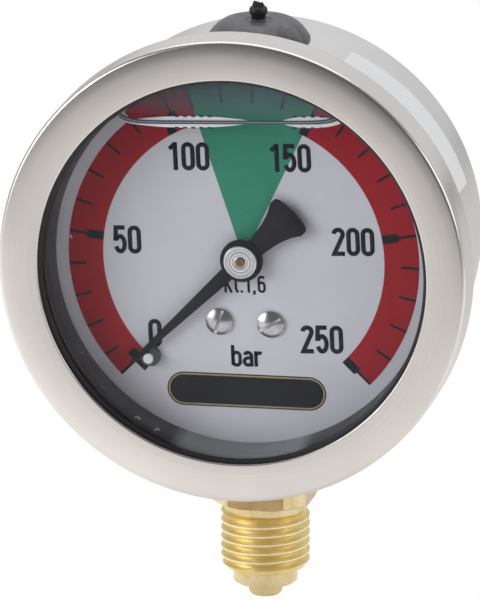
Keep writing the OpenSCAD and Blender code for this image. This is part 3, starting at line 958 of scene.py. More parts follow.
    def label(self) -> None:
        """The blank film label, bent round the case, with clipped corners."""
        size = self.bench.layout
        base = size.case_r + SEAT_GAP
        back = size.lip - self.label_ahead - self.label_width
        length = math.radians(self.label_span) * base
        c, w = self.label_corner, self.label_width
        outline = [*arc(length - c, c, c, -90, 0, 8), *arc(length - c, w - c, c, 0, 90, 8),
                   *arc(0.4, w - 0.4, 0.4, 90, 180, 3), *arc(0.4, 0.4, 0.4, 180, 270, 3)]
        bm = slab(outline, 0.0, self.label_thickness)
        for k in range(1, self.label_strips):
            cut = length * k / self.label_strips
            geom = bm.verts[:] + bm.edges[:] + bm.faces[:]
            bmesh.ops.bisect_plane(bm, geom=geom, plane_co=(cut, 0, 0), plane_no=(1, 0, 0))
        for v in bm.verts:
            turn = math.radians(self.label_start) + v.co.x / base
            slip = (length - v.co.x) * math.tan(math.radians(self.label_turn))
            r = base + v.co.z
            v.co = (r * math.cos(turn), r * math.sin(turn), back + v.co.y - slip)
        self.bench.dial_piece("blank_label", bm, self.palette.label, slot="label_film",
                              replaces=["label"])


# ---------------------------------------------------------------- dial


@dataclass
class Glyphs:
    """Plain condensed figures and letters drawn as strokes, one unit high."""

    width: float = 0.37
    step: float = 0.60

    def oval(self, low: float = 0.0, high: float = 1.0) -> list[Point]:
        """A closed upright oval with straight sides."""
        r = self.width / 2
        return [*arc(r, high - r, r, 180, 0, 10), *arc(r, low + r, r, 0, -180, 10)]

    def strokes(self, sign: str) -> list[tuple[list[Point], bool]]:
        """The strokes of a sign.

        Args:
            sign: one of the figures or letters used on the dial.

        Returns:
            A list of (points, closed).
        """
        w, r = self.width, self.width / 2
        if sign == "0":
            return [(self.oval(), True)]
        if sign == "1":
            return [([(w * 0.7, 1.08), (w * 0.7, -0.08)], False),
                    ([(0.02, 0.8), (w * 0.66, 1.0)], False)]
        if sign == "K":
            return [([(0.05, 1.08), (0.05, -0.08)], False), ([(0.1, 0.38), (w + 0.04, 1.08)], False),
                    ([(0.16, 0.52), (w + 0.08, -0.08)], False)]
        if sign == "l":
            return [([(0.08, 1.08), (0.08, 0.16), (0.15, 0.0), (0.26, 0.0)], False)]
        if sign == ".":
            return [([(0.06, -0.08), (0.06, 0.08)], False)]
        if sign == "2":
            path = [*arc(r, 1 - r, r, 175, -25, 10), (0.0, 0.0), (w + 0.06, 0.0)]
            return [(path, False)]
        if sign == "5":
            bowl = [(r + r * math.cos(math.radians(a)), 0.32 + 0.32 * math.sin(math.radians(a)))
                    for a in range(140, -161, -20)]
            return [([(w + 0.03, 1.0), (0.03, 1.0), (0.0, 0.53), *bowl], False)]
        if sign == "b":
            return [([(0.0, 1.07), (0.0, 0.0)], False), (self.oval(0.0, 0.68), True)]
        if sign == "a":
            hood = [(0.03, 0.54), *arc(r, 0.68 - r, r, 140, 0, 8), (w, -0.07)]
            belly = [(w, 0.4), *arc(r * 0.95, 0.2, 0.19, 90, 270, 8), (w, 0.04)]
            return [(hood, False), (belly, False)]
        if sign == "r":
            return [([(0.0, 0.75), (0.0, -0.07)], False),
                    ([(0.0, 0.42), *arc(0.2, 0.44, 0.22, 150, 60, 5)], False)]
        if sign == ",":
            return [([(0.05, 0.08), (0.0, -0.2)], False)]
        if sign == "6":
            hook = [*arc(r, 1 - r, r, 25, 180, 8), (0.0, 0.4)]
            return [(hook, False), (self.oval(0.0, 0.6), True)]
        raise ValueError(f"no strokes for {sign}")

    def length(self, text: str) -> float:
        """Width of a line of signs, in units of their height."""
        return sum(self.advance(sign) for sign in text) - (self.step - self.width)

    def advance(self, sign: str) -> float:
        """How far the next sign stands to the right."""
        return {",": 0.34, ".": 0.26, "r": 0.5, "l": 0.4, "K": 0.66}.get(sign, self.step)

    def write(self, bm: bmesh.types.BMesh, text: str, centre: Point, height: float,
              turn: float, low: float, high: float) -> None:
        """Adds thin upright walls along the strokes; a Solidify gives them their width.

        Args:
            bm: the mesh.
            text: the signs.
            centre: middle of the line.
            height: height of a figure's stroke line.
            turn: how far the line is turned, in degrees.
            low: back of the ink.
            high: front of the ink.
        """
        x, y = -self.length(text) * height / 2, -height / 2
        spin = Matrix.Translation((*centre, low)) @ Matrix.Rotation(math.radians(turn), 4, "Z")
        for sign in text:
            for points, closed in self.strokes(sign):
                spot = [spin @ Vector((x + px * height, y + py * height, 0)) for px, py in points]
                geom = chain(bm, spot, closed)
                edges = [g for g in geom if isinstance(g, bmesh.types.BMEdge)]
                wall = bmesh.ops.extrude_edge_only(bm, edges=edges)["geom"]
                top = [v for v in wall if isinstance(v, bmesh.types.BMVert)]
                bmesh.ops.translate(bm, verts=top, vec=(0, 0, high - low))
            x += self.advance(sign) * height


@dataclass
class Dial:
    """The white dial with its coloured scale, marks and numbers.

    Seen through the air above the liquid, the print looks wider. There the bands reach out to
    air_band (radius, first and last angle), and one mark is drawn as air_mark gives it (foot,
    waist and tip), turned by air_turn.
    """

    bench: Bench
    palette: Palette
    glyphs: Glyphs = field(default_factory=Glyphs)
    print_turn: float = 2.6
    full_scale: int = 250
    per_bar: float = 1.088
    scale_start: float = 228.4
    zero_angle: float = 225.5
    zero_band: Point = (221.6, 230.6)
    band_in: float = 20.9
    band_mid: float = 23.4
    band_out: float = 26.05
    block_width: float = 1.3
    line_width: float = 0.38
    overlap: float = 0.1
    red_past: float = 0.4
    green_in: float = 2.6
    air_band: tuple[float, float, float] = (27.45, 130.0, 92.0)
    air_mark: tuple[float, float, float] = (22.5, 24.1, 26.4)
    air_gap: float = 0.5
    air_value: int = 100
    air_turn: float = -2.8
    zero_in: float = 21.7
    zero_out: float = 23.2
    green_from: float = 110.0
    green_to: float = 150.0
    strip_place: Point = (-0.45, -20.1)
    strip_half: Point = (11.85, 2.55)
    strip_turn: float = 0.9
    strip_lines: Point = (0.2, 0.4)
    ink_height: float = 0.02
    ink_step: Point = (0.004, 0.012)
    figures: tuple[tuple[str, Point], ...] = (
        ("0", (-13.2, -12.1)), ("50", (-17.3, 1.8)), ("100", (-8.2, 14.87)),
        ("150", (6.85, 15.45)), ("200", (16.25, 3.4)), ("250", (11.65, -11.6)))
    figure_height: float = 3.6
    figure_stroke: float = 0.66
    unit_place: Point = (0.5, -14.75)
    unit_height: float = 2.85
    unit_stroke: float = 0.52
    grade_place: Point = (0.15, -3.9)
    grade_height: float = 2.25
    grade_stroke: float = 0.36

    def angle(self, value: float) -> float:
        """The angle of a pressure on the dial, in degrees; the zero mark stands ahead of its place."""
        return self.scale_start - self.per_bar * value if value else self.zero_angle

    def layer(self, number: int) -> tuple[float, float]:
        """Back and front of an ink layer above the paint."""
        base, (sunk, raised) = self.bench.layout.dial_front, self.ink_step
        return base + sunk * number, base + self.ink_height + raised * number

    def turned(self, x: float, y: float) -> Point:
        """A point of the print, turned with it."""
        t = math.radians(self.print_turn)
        return (x * math.cos(t) - y * math.sin(t), x * math.sin(t) + y * math.cos(t))

    def build(self) -> None:
        """Builds the print and dresses the dial plate."""
        plate = frame["nodes"]["dial"]
        plate.material_slots[0].material = self.palette.dial
        self.colours()
        self.marks()
        self.numbers()
        self.strip()

    def colours(self) -> None:
        """The red band on both sides and the green sector between, wider above the liquid."""
        low, high = self.layer(0)
        edge, far_edge, past = self.angle(self.green_from), self.angle(self.green_to), self.red_past
        reach, start, end = self.air_band
        seam = self.band_out - 0.01
        red = bmesh.new()
        band(red, self.band_in, self.band_out, edge, self.angle(0) + past, low, high)
        band(red, self.band_in, self.band_out, self.angle(self.full_scale) - past, far_edge, low, high)
        band(red, seam, reach, edge, start, low, high)
        self.bench.dial_piece("red_band", red, self.palette.red, slot="dial_aluminium")
        green = bmesh.new()
        band(green, self.green_in, self.band_out, far_edge, edge, low, high)
        band(green, seam, reach, end, edge, low, high)
        self.bench.dial_piece("green_sector", green, self.palette.green, slot="dial_aluminium")

    def mark(self, bm: bmesh.types.BMesh, value: float, r_in: float, r_out: float, width: float,
             layer: int, shift: float = 0.0) -> None:
        """Adds one radial bar.

        Args:
            bm: the mesh.
            value: pressure that it marks.
            r_in: inner end.
            r_out: outer end.
            width: width of the bar.
            layer: number of its ink layer.
            shift: degrees added to its place.
        """
        low, high = self.layer(layer)
        size = Matrix.Diagonal((r_out - r_in, width, high - low, 1))
        spot = Matrix.Translation(((r_in + r_out) / 2, 0, (low + high) / 2))
        turn = Matrix.Rotation(math.radians(self.angle(value) + shift), 4, "Z")
        bmesh.ops.create_cube(bm, size=1.0, matrix=turn @ spot @ size)

    def marks(self) -> None:
        """Thick blocks and thin lines every 50, thin lines every 10; one is shifted by the air."""
        block, line, over = self.block_width, self.line_width, self.overlap
        bm = bmesh.new()
        for value in range(0, self.full_scale + 1, 10):
            if value == self.air_value:
                foot, waist, tip = self.air_mark
                self.mark(bm, value, self.band_in, foot - self.air_gap, block, 1)
                self.mark(bm, value, foot, waist, block, 1, self.air_turn)
                self.mark(bm, value, waist - over, tip, line, 2, self.air_turn)
            elif value % 50:
                self.mark(bm, value, self.band_mid, self.band_out, line, 1)
            else:
                if value:
                    self.mark(bm, value, self.band_in, self.band_mid, block, 1)
                self.mark(bm, value, self.band_mid - over, self.band_out, line, 2)
        band(bm, self.zero_in, self.zero_out, *self.zero_band, *self.layer(1))
        self.bench.dial_piece("scale_marks", bm, self.palette.ink, slot="dial_aluminium")

    def numbers(self) -> None:
        """The figures of the scale, the unit and the accuracy class."""
        low, high = self.layer(1)
        for name, lines, height, stroke in (
            ("scale_figures", self.figures, self.figure_height, self.figure_stroke),
            ("unit_letters", (("bar", self.unit_place),), self.unit_height, self.unit_stroke),
            ("class_figures", (("Kl.1,6", self.grade_place),), self.grade_height, self.grade_stroke),
        ):
            bm = bmesh.new()
            for text, spot in lines:
                self.glyphs.write(bm, text, spot, height, self.print_turn, low, high)
            self.inked(name, bm, stroke)

    def inked(self, name: str, bm: bmesh.types.BMesh, stroke: float) -> None:
        """Gives the stroke walls their width and the dark ink.

        Args:
            name: the piece's name.
            bm: walls along the strokes.
            stroke: width of a stroke.
        """
        made = self.bench.dial_piece(name, bm, self.palette.ink, slot="dial_aluminium")
        width = made.modifiers.new("stroke", "SOLIDIFY")
        width.thickness = stroke * MM
        width.offset = 0.0
        width.use_even_offset = True

    def strip(self) -> None:
        """A bare dark strip with a plain line round it, under the unit."""
        low, high = self.layer(0)
        _, top = self.layer(1)
        edge, line = self.strip_lines
        turn = Matrix.Rotation(math.radians(self.strip_turn), 4, "Z")
        spin = Matrix.Translation((*self.turned(*self.strip_place), 0)) @ turn
        for name, inside, front, finish in (("strip_edge", 0.0, low + 0.016, self.palette.ink),
                                            ("strip_line", edge, high, self.palette.ochre),
                                            ("strip_field", line, top, self.palette.ink)):
            w, h = self.strip_half[0] - inside, self.strip_half[1] - inside
            outline = [*arc(w - h, 0, h, -90, 90, 20), *arc(h - w, 0, h, 90, 270, 20)]
            bm = slab(outline, low, front)
            bmesh.ops.transform(bm, matrix=spin, verts=bm.verts)
            self.bench.dial_piece(name, bm, finish, slot="dial_aluminium")


# ---------------------------------------------------------------- pointer and screws


@dataclass
class PointerSet:
    """The black pointer, its silver hub and the end of its shaft."""

    bench: Bench
    palette: Palette
    length: float = 23.3
    tail: float = 10.95
    blade_half: float = 1.2
    tip_half: float = 0.3
    flare: float = 19.8
    rim_bend: float = 5.2
    corner_bend: float = 2.2
    corner_in: float = 0.22
    corner: float = 1.2
    rest_turn: float = 225.0
    thickness: float = 0.4
    boss_r: float = 3.15
    cap_r: float = 2.5
    cap_edge: float = 0.2
    groove: float = 0.045
    pin_hole_r: float = 0.56
    copper_r: float = 0.47
    bore_r: float = 1.62

    def build(self) -> None:
        """Builds the pointer, its boss, the hub and the shaft's end."""
        self.blade()
        self.hub()

    def blade(self) -> None:
        """The flat blade with the flared tail, and the black boss on it."""
        node_low, node_high = (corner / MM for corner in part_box("pointer"))
        back, front = -node_high.y, -node_low.y
        tail, flare, bend = self.tail, self.flare, self.flare - self.corner_bend
        inner, near = tail - self.corner, tail - self.corner_in
        rim = [polar(tail, 180 + a) for a in (self.rim_bend - flare, -8, 0, 8, flare - self.rim_bend)]
        low_corner = [polar(near, 180 + bend), polar(inner, 180 + flare)]
        high_corner = [polar(inner, 180 - flare), polar(near, 180 - bend)]
        neck = [(-9.0, -3.1), (-8.0, -2.55), (-6.8, -2.1), (-5.4, -1.75), (-3.6, -1.5)]
        outline = [(self.length, self.tip_half), (0, self.blade_half)]
        outline += [(x, -y) for x, y in reversed(neck)]
        outline += [*high_corner, *rim, *low_corner, *neck]
        outline += [(0, -self.blade_half), (self.length, -self.tip_half)]
        bm = slab(outline, back, back + self.thickness)
        bevel(bm, sharp_edges(bm, math.radians(60)), 0.05)
        turn = Matrix.Rotation(math.radians(self.rest_turn), 4, "Z")
        bmesh.ops.transform(bm, matrix=turn, verts=bm.verts)
        self.bench.dial_piece("pointer_blade", bm, self.palette.pointer, Body.POINTER,
                              "black_paint", ["pointer"])
        r, b = self.boss_r, self.bore_r
        boss = revolve([(b, back), (r - 0.1, back), (r, back + 0.1), (r, front - 0.12),
                        (r - 0.12, front), (b, front)], closed=True, steps=96)
        self.bench.dial_piece("pointer_boss", boss, self.palette.pointer, Body.POINTER,
                              "black_paint")

    def hub(self) -> None:
        """The silver cap with faint turned rings and the pin in its middle."""
        low, high = (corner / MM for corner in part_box("pointer_hub"))
        back, front = -high.y, -low.y
        under = -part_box("pointer")[0].y / MM + SEAT_GAP
        r, edge, pin, stem = self.cap_r, self.cap_edge, self.pin_hole_r, self.bore_r - 0.03
        rings = [(r - 0.25 - 0.2 * k, front - (self.groove if k % 2 else 0.0)) for k in range(8)]
        profile = [(pin, back), (stem, back), (stem, under), (r, under), (r, front - 0.22),
                   *arc(r - edge, front - edge, edge, 10, 90, 4), *rings,
                   (pin + 0.18, front), (pin, front - 0.1)]
        bm = revolve(profile, closed=True, steps=96)
        self.bench.dial_piece("hub_cap", bm, self.palette.hub, Body.POINTER, "turned_steel",
                              ["pointer_hub"])
        tip = -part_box("pinion_shaft")[0].y / MM
        shaft = revolve([(0, front - 0.3), (0.61, front - 0.3), (0.61, tip - 0.05), (0.5, tip + 0.03),
                         (0.3, tip + 0.04), (0.26, tip + 0.01), (0, tip + 0.01)], steps=32)
        made = self.bench.dial_piece("shaft_end", shaft, self.palette.copper, Body.POINTER,
                                     "spring_bronze")
        # The shaft's side round the copper centre, seen in the hub's hole, takes the black paint:
        # painted shade in the gap.
        made.data.materials.append(self.palette.pointer)
        centre = Vector((0, self.bench.layout.centre)) * MM
        for face in made.data.polygons:
            if (face.center.xz - centre).length > self.copper_r * MM:
                face.material_index = 1


@dataclass
class DialFasteners:
    """The two slotted dial screws and the stop pin at zero."""

    bench: Bench
    palette: Palette
    across: float = 3.83
    middle: float = 0.25
    drop: float = 9.7
    head_r: float = 1.98
    head_h: float = 0.95
    slot_w: float = 0.46
    slot_floor: float = 0.5
    slot_turns: Point = (72.0, 32.0)
    side_h: float = 0.35
    shank_r: float = 0.95
    shank_length: float = 4.0
    pin_turn: float = 225.0
    pin_reach: float = 20.7
    pin_side: float = 1.2
    ridges: int = 4
    ridge_step: float = 0.2
    bush_r: float = 1.5
    bush_h: float = 0.85

    def build(self) -> None:
        """Builds the screws and the pin."""
        for number, side in enumerate((-1, 1)):
            self.screw(number, side)
        self.stop_pin()

    def screw(self, number: int, side: int) -> None:
        """One domed head with its slot and shank.

        Args:
            number: 0 for the left screw, 1 for the right.
            side: -1 for left, 1 for right.
        """
        base = self.bench.layout.dial_front + SEAT_GAP
        r, h, crown = self.head_r, self.head_h, self.head_h - self.side_h
        shank, foot = self.shank_r, base - self.shank_length
        dome = (r * r + crown ** 2) / (2 * crown)
        start = math.degrees(math.asin(r / dome))
        top = arc(0, base + h - dome, dome, 90 - start, 90, 8)
        profile = [(0, foot), (shank, foot), (shank, base), (r - 0.08, base), (r, base + 0.08),
                   *top[:-1], (0, base + h)]
        bm = revolve(profile, steps=64)
        spot = Matrix.Translation((self.middle + side * self.across, -self.drop, 0))
        bmesh.ops.transform(bm, matrix=spot, verts=bm.verts)
        made = self.bench.dial_piece(f"dial_screw_{number + 1}", bm, self.palette.screw,
                                     slot="screw_steel", replaces=["dial_screws"])
        tool = bmesh.new()
        turn = Matrix.Rotation(math.radians(self.slot_turns[number]), 4, "Z")
        size = Matrix.Diagonal((3 * r, self.slot_w, 2 * h, 1))
        lift = Matrix.Translation((0, 0, base + h * (1 + self.slot_floor)))
        bmesh.ops.create_cube(tool, size=1.0, matrix=spot @ lift @ turn @ size)
        self.bench.cut(made, tool, forwards(self.bench.layout))
        # The slot's floor is painted near-white, a painted highlight; its walls near the middle take
        # the black gasket rubber, painted shade.
        made.data.materials.append(self.palette.slot_highlight)
        made.data.materials.append(self.palette.gasket)
        floor = -(base + h * self.slot_floor) * MM
        middle = forwards(self.bench.layout) @ spot @ Vector((0, 0, base))
        for face in made.data.polygons:
            faces_reader, is_wall = face.normal.y < -0.9, abs(face.normal.y) < 0.1
            if faces_reader and abs(face.center.y - floor) < SEAT_GAP * MM:
                face.material_index = 1
            elif is_wall and (face.center - middle).xz.length < r / 2 * MM:
                face.material_index = 2

    def stop_pin(self) -> None:
        """The ridged pin that the pointer rests against, with a bright flat end."""
        base = self.bench.layout.dial_front
        high = -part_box("stop_pin")[0].y / MM
        turn = Matrix.Rotation(math.radians(self.pin_turn), 4, "Z")
        place = turn @ Matrix.Translation((self.pin_reach, self.pin_side, 0))
        b, top, seat = self.bush_r, base + self.bush_h, base + SEAT_GAP
        ridged = [(b, seat)]
        for k in range(self.ridges):
            ridge = base + 0.06 + self.ridge_step * k
            ridged += [(b, ridge), (b, ridge + 0.1), (b - 0.1, ridge + 0.12), (b - 0.1, ridge + 0.18)]
        bush = revolve([(0, seat), *ridged, (b - 0.15, top), (b - 0.45, top), (b - 0.5, top - 0.06),
                        (0, top - 0.06)], steps=56)
        bmesh.ops.transform(bush, matrix=place, verts=bush.verts)
        self.bench.dial_piece("stop_pin_bush", bush, self.palette.bush, slot="screw_steel")
        profile = [(0, base - 0.5), (0.5, base - 0.5), (0.5, high - 0.45), (0.68, high - 0.4),
                   (0.75, high - 0.33), (0.75, high - 0.1), (0.66, high), (0, high)]
        bm = revolve(profile, steps=40)
        bmesh.ops.transform(bm, matrix=place, verts=bm.verts)
        self.bench.dial_piece("zero_stop_pin", bm, self.palette.pin, slot="screw_steel",
                              replaces=["stop_pin"])


# ---------------------------------------------------------------- connection


@dataclass
class Connection:
    """The brass block with flats, the thread, the spigot and the pilot."""

    bench: Bench
    palette: Palette
    flats: float = 14.0
    corner_r: float = 8.5
    corner_cut: float = 2.67
    block_low: float = 9.7
    relief_r: float = 6.08
    thread_r: float = 6.5785
    thread_low: float = -0.7
    thread_high: float = 8.4
    pitch: float = 1.337
    thread_depth: float = 0.55
    spigot_r: float = 4.75
    spigot_low: float = -3.0
    pilot_r: float = 2.5
    pilot_low: float = -5.0
    port_r: float = 1.5
    port_top: float = 3.0
    stalk_size: Point = (6.2, 6.4)
    stalk_back: float = -0.6
    stalk_edge: float = 0.25
    block_into_case: float = 1.6
    neck_r: float = 4.98
    neck_h: float = 3.0
    flat_edge: float = 0.12
    waist: float = 5.2
    crest_tolerance: float = 0.02
    thread_foot_r: float = 5.72
    foot_slope: float = 0.95
    head_slope: float = 1.3

    def build(self) -> None:
        """Builds the block, the thread, the turned ends and the stalk."""
        self.block()
        self.thread()
        self.ends()
        self.stalk()

    def block(self) -> None:
        """Square flats with turned corners; the top follows the case."""
        size = self.bench.layout
        high = size.centre - size.case_r + self.block_into_case
        low, r, neck, top = self.block_low, self.corner_r, self.neck_r, high + self.neck_h
        profile = [(0, low), (r - 1.1, low), (r - 0.95, low + 0.06), (r, low + 0.6), (r, high),
                   (neck, high), (neck, top), (0, top)]
        bm = revolve(profile, steps=128)
        made = self.bench.piece("connection_block", bm, upwards(), self.palette.shaded_flat_brass,
                                slot="connection_brass", replaces=["socket"])
        box = bmesh.new()
        half = Matrix.Diagonal((self.flats, self.flats, 60, 1))
        bmesh.ops.create_cube(box, size=1.0, matrix=Matrix.Translation((0, 0, low)) @ half)
        for width, segments in ((self.corner_cut, 1), (self.flat_edge, 2)):
            upright = [e for e in box.edges if abs(e.verts[0].co.z - e.verts[1].co.z) > 1]
            bevel(box, upright, width, segments)
        self.bench.cut(made, box, upwards(), Cut.TO_SHAPE)
        inner, wall = self.waist, size.case_r + SEAT_GAP
        tool = revolve([(inner, -20), (wall, -20), (wall, 40), (inner, 40)], closed=True, steps=256)
        self.bench.cut(made, tool, forwards(size))
        made.data.materials.clear()
        for finish in (self.palette.brass, self.palette.shaded_flat_brass):
            made.data.materials.append(finish)
        # The flat faces take the darker brass: painted shade.
        for face in made.data.polygons:
            is_flat = max(abs(face.normal.x), abs(face.normal.y)) > 0.98
            face.material_index = int(is_flat)

    def thread(self) -> None:
        """The screw thread: one tooth swept round and up, its ends turned down."""
        crest = self.thread_r - 0.01
        root = crest - self.thread_depth
        p = self.pitch
        tooth = [(root, 0.0), (root + 0.05, 0.09 * p), (crest - 0.06, 0.36 * p), (crest, 0.42 * p),
                 (crest, 0.58 * p), (crest - 0.06, 0.64 * p), (root + 0.05, 0.91 * p), (root, p)]
        start = self.thread_low - 0.9 - p
        turns = math.ceil((self.thread_high + 0.5 - start) / p) + 1
        steps = 56
        bm = bmesh.new()
        geom = chain(bm, [(r, 0, start + h) for r, h in tooth], False)
        bmesh.ops.spin(bm, geom=geom, cent=(0, 0, 0), axis=(0, 0, 1), dvec=(0, 0, p / steps),
                       angle=TURN * turns, steps=steps * turns, use_merge=False, use_duplicate=False)
        bmesh.ops.remove_doubles(bm, verts=bm.verts, dist=1e-4)
        for v in bm.verts:
            self.turn_down(v)
        for height, out in ((self.thread_low - 0.4, -1), (self.thread_high + 0.25, 1)):
            geom = bm.verts[:] + bm.edges[:] + bm.faces[:]
            bmesh.ops.bisect_plane(bm, geom=geom, plane_co=(0, 0, height), plane_no=(0, 0, out),
                                   clear_outer=True)
            rim = [e for e in bm.edges if e.is_boundary
                   and all(abs(v.co.z - height) < 1e-4 for v in e.verts)]
            bmesh.ops.edgeloop_fill(bm, edges=rim)
        made = self.bench.piece("connection_thread", bm, upwards(), self.palette.thread_brass,
                                slot="connection_brass")
        mesh, least = made.data, (crest - self.crest_tolerance) * MM
        # Faces out at the crest take the pale brass: a painted highlight along each crest.
        mesh.materials.append(self.palette.crest_highlight_brass)
        for face in mesh.polygons:
            if all(mesh.vertices[v].co.xy.length > least for v in face.vertices):
                face.material_index = 1

    def turn_down(self, v: bmesh.types.BMVert) -> None:
        """Keeps a vertex of the thread inside the chamfers at both ends."""
        r = math.hypot(v.co.x, v.co.y)
        z = v.co.z
        low_limit = self.thread_foot_r + max(0.0, z - self.thread_low) * self.foot_slope
        if z < self.thread_low:
            low_limit = self.spigot_r - 0.1
        high_limit = self.relief_r - 0.1 + max(0.0, self.thread_high - z) * self.head_slope
        limit = min(low_limit, high_limit)
        if r > limit:
            v.co.x *= limit / r
            v.co.y *= limit / r

    def ends(self) -> None:
        """The relief, and the spigot with its pilot and the pressure port."""
        rr, low, high = self.relief_r, self.thread_high - 0.3, self.block_low + 0.3
        relief = revolve([(0, low), (rr, low), (rr, high), (0, high)], steps=128)
        self.bench.piece("connection_relief", relief, upwards(), self.palette.brass,
                         slot="connection_brass")
        s, p, b = self.spigot_r, self.pilot_r, self.port_r
        profile = [(b, self.port_top), (b, self.pilot_low + 0.15), (b + 0.15, self.pilot_low),
                   (p - 0.4, self.pilot_low), (p, self.pilot_low + 0.45), (p, self.spigot_low - 0.08),
                   (p + 0.08, self.spigot_low), (s - 0.3, self.spigot_low), (s, self.spigot_low + 0.25),
                   (s, self.thread_low + 0.2), (s - 0.6, self.thread_low + 0.3),
                   (s - 0.6, self.port_top)]
        bm = revolve(profile, closed=True, steps=128)
        self.bench.piece("connection_spigot", bm, upwards(), self.palette.brass,
                         slot="connection_brass")

    def stalk(self) -> None:
        """The bar inside the case that carries the tube and the movement."""
        bm = bmesh.new()
        foot = self.bench.layout.centre - self.bench.layout.case_r + 0.9
        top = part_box("socket")[1].z / MM
        size = Matrix.Diagonal((*self.stalk_size, top - foot, 1))
        spot = Matrix.Translation((0, self.stalk_back, (top + foot) / 2))
        bmesh.ops.create_cube(bm, size=1.0, matrix=spot @ size)
        bevel(bm, bm.edges, self.stalk_edge)
        self.bench.piece("connection_stalk", bm, upwards(), self.palette.brass,
                         slot="connection_brass")


# ---------------------------------------------------------------- plug


@dataclass
class VentPlug:
    """The rubber plug on top with its cut-off nipple."""

    bench: Bench
    palette: Palette
    ahead: float = 4.5
    head_r: float = 7.6
    neck_r: float = 4.5
    nipple_r: float = 1.36
    nipple_cut: float = 0.05
    dome: float = 1.9
    crown_h: float = 2.6
    side_low: float = 4.0
    side_fall: float = 0.95
    lift: float = 0.5
    torn: float = 0.45
    seed: int = 7

    def build(self) -> None:
        """Builds the head with its seat, neck and nipple."""
        size = self.bench.layout
        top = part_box("vent_plug")[1].z / MM - self.nipple_cut
        case_top = size.centre + size.case_r
        crown, low, inner = case_top + self.crown_h, case_top - self.side_low, case_top - 0.8
        r, n, neck = self.head_r, self.nipple_r, self.neck_r
        rim = crown - self.dome
        profile = [(0, inner - 1.8), (neck + 0.2, inner - 1.8), (neck + 0.6, inner - 1.3),
                   (neck + 0.6, inner - 0.75), (neck, inner - 0.65), (neck, low + 3.0),
                   (neck + 0.3, low + 3.3), (r - 0.3, low + 3.2), (r - 0.05, low + 3.3),
                   (r, rim - 0.9), (r - 0.02, rim - 0.62), (r - 0.12, rim - 0.3),
                   (r - 0.36, rim + 0.08), (r - 0.8, rim + 0.5), (r - 1.5, rim + 0.98),
                   (r - 2.4, rim + 1.4), (r - 3.2, rim + 1.55), (r - 4.2, crown - 0.38),
                   (n + 1.0, crown - 0.48), (n + 0.7, crown - 0.44), (n + 0.5, crown - 0.56),
                   (n - 0.1, crown - 0.5), (n - 0.3, crown - 0.25), (n - 0.3, crown + 0.2),
                   (n - 0.05, crown + 0.6), (n, crown + 1.0), (n - 0.1, crown + 1.35),
                   (n - 0.42, crown + 1.6), (n - 0.62, top - 0.2), (n - 0.7, top),
                   (0.3, top - 0.25), (0, top - 0.4)]
        bm = revolve(profile, steps=96)
        self.seat(bm, size, rim - self.side_fall)
        self.tear(bm, top)
        made = self.bench.piece("rubber_plug", bm, upwards(self.ahead), self.palette.rubber,
                                slot="black_rubber", replaces=["vent_plug"])
        made.data.materials.append(self.palette.gasket)
        for face in made.data.polygons:
            if face.center.z > (crown - 0.1) * MM:
                face.material_index = 1

    def seat(self, bm: bmesh.types.BMesh, size: Layout, rim: float) -> None:
        """Wraps the head over the case, and lifts its right edge a little.

        Args:
            bm: the mesh.
            size: the layout.
            rim: height of the head's side above which it only sags a little.
        """
        for v in bm.verts:
            r = math.hypot(v.co.x, v.co.y)
            if r < self.neck_r + 0.2 or v.co.z < size.centre + size.case_r - 1.2:
                continue
            case = size.centre + math.sqrt((size.case_r + SEAT_GAP) ** 2 - v.co.x ** 2)
            if v.co.z < rim - 0.01:
                v.co.z = case + (self.lift * max(0.0, v.co.x / self.head_r) ** 2 if r > 6 else 0.0)
            else:
                v.co.z -= (size.centre + size.case_r - case) * min(1.0, (r - self.neck_r) / 3.0)

    def tear(self, bm: bmesh.types.BMesh, top: float) -> None:
        """Roughens the cut end of the nipple.

        Args:
            bm: the mesh.
            top: height of the nipple's end.
        """
        chance = random.Random(self.seed)
        for v in bm.verts:
            if v.co.z > top - self.torn:
                turn = math.atan2(v.co.y, v.co.x)
                v.co.z -= 0.2 + 0.15 * math.sin(turn + 0.6) + chance.uniform(-0.15, 0.2)
                v.co.z = min(v.co.z, top)


# ---------------------------------------------------------------- liquid


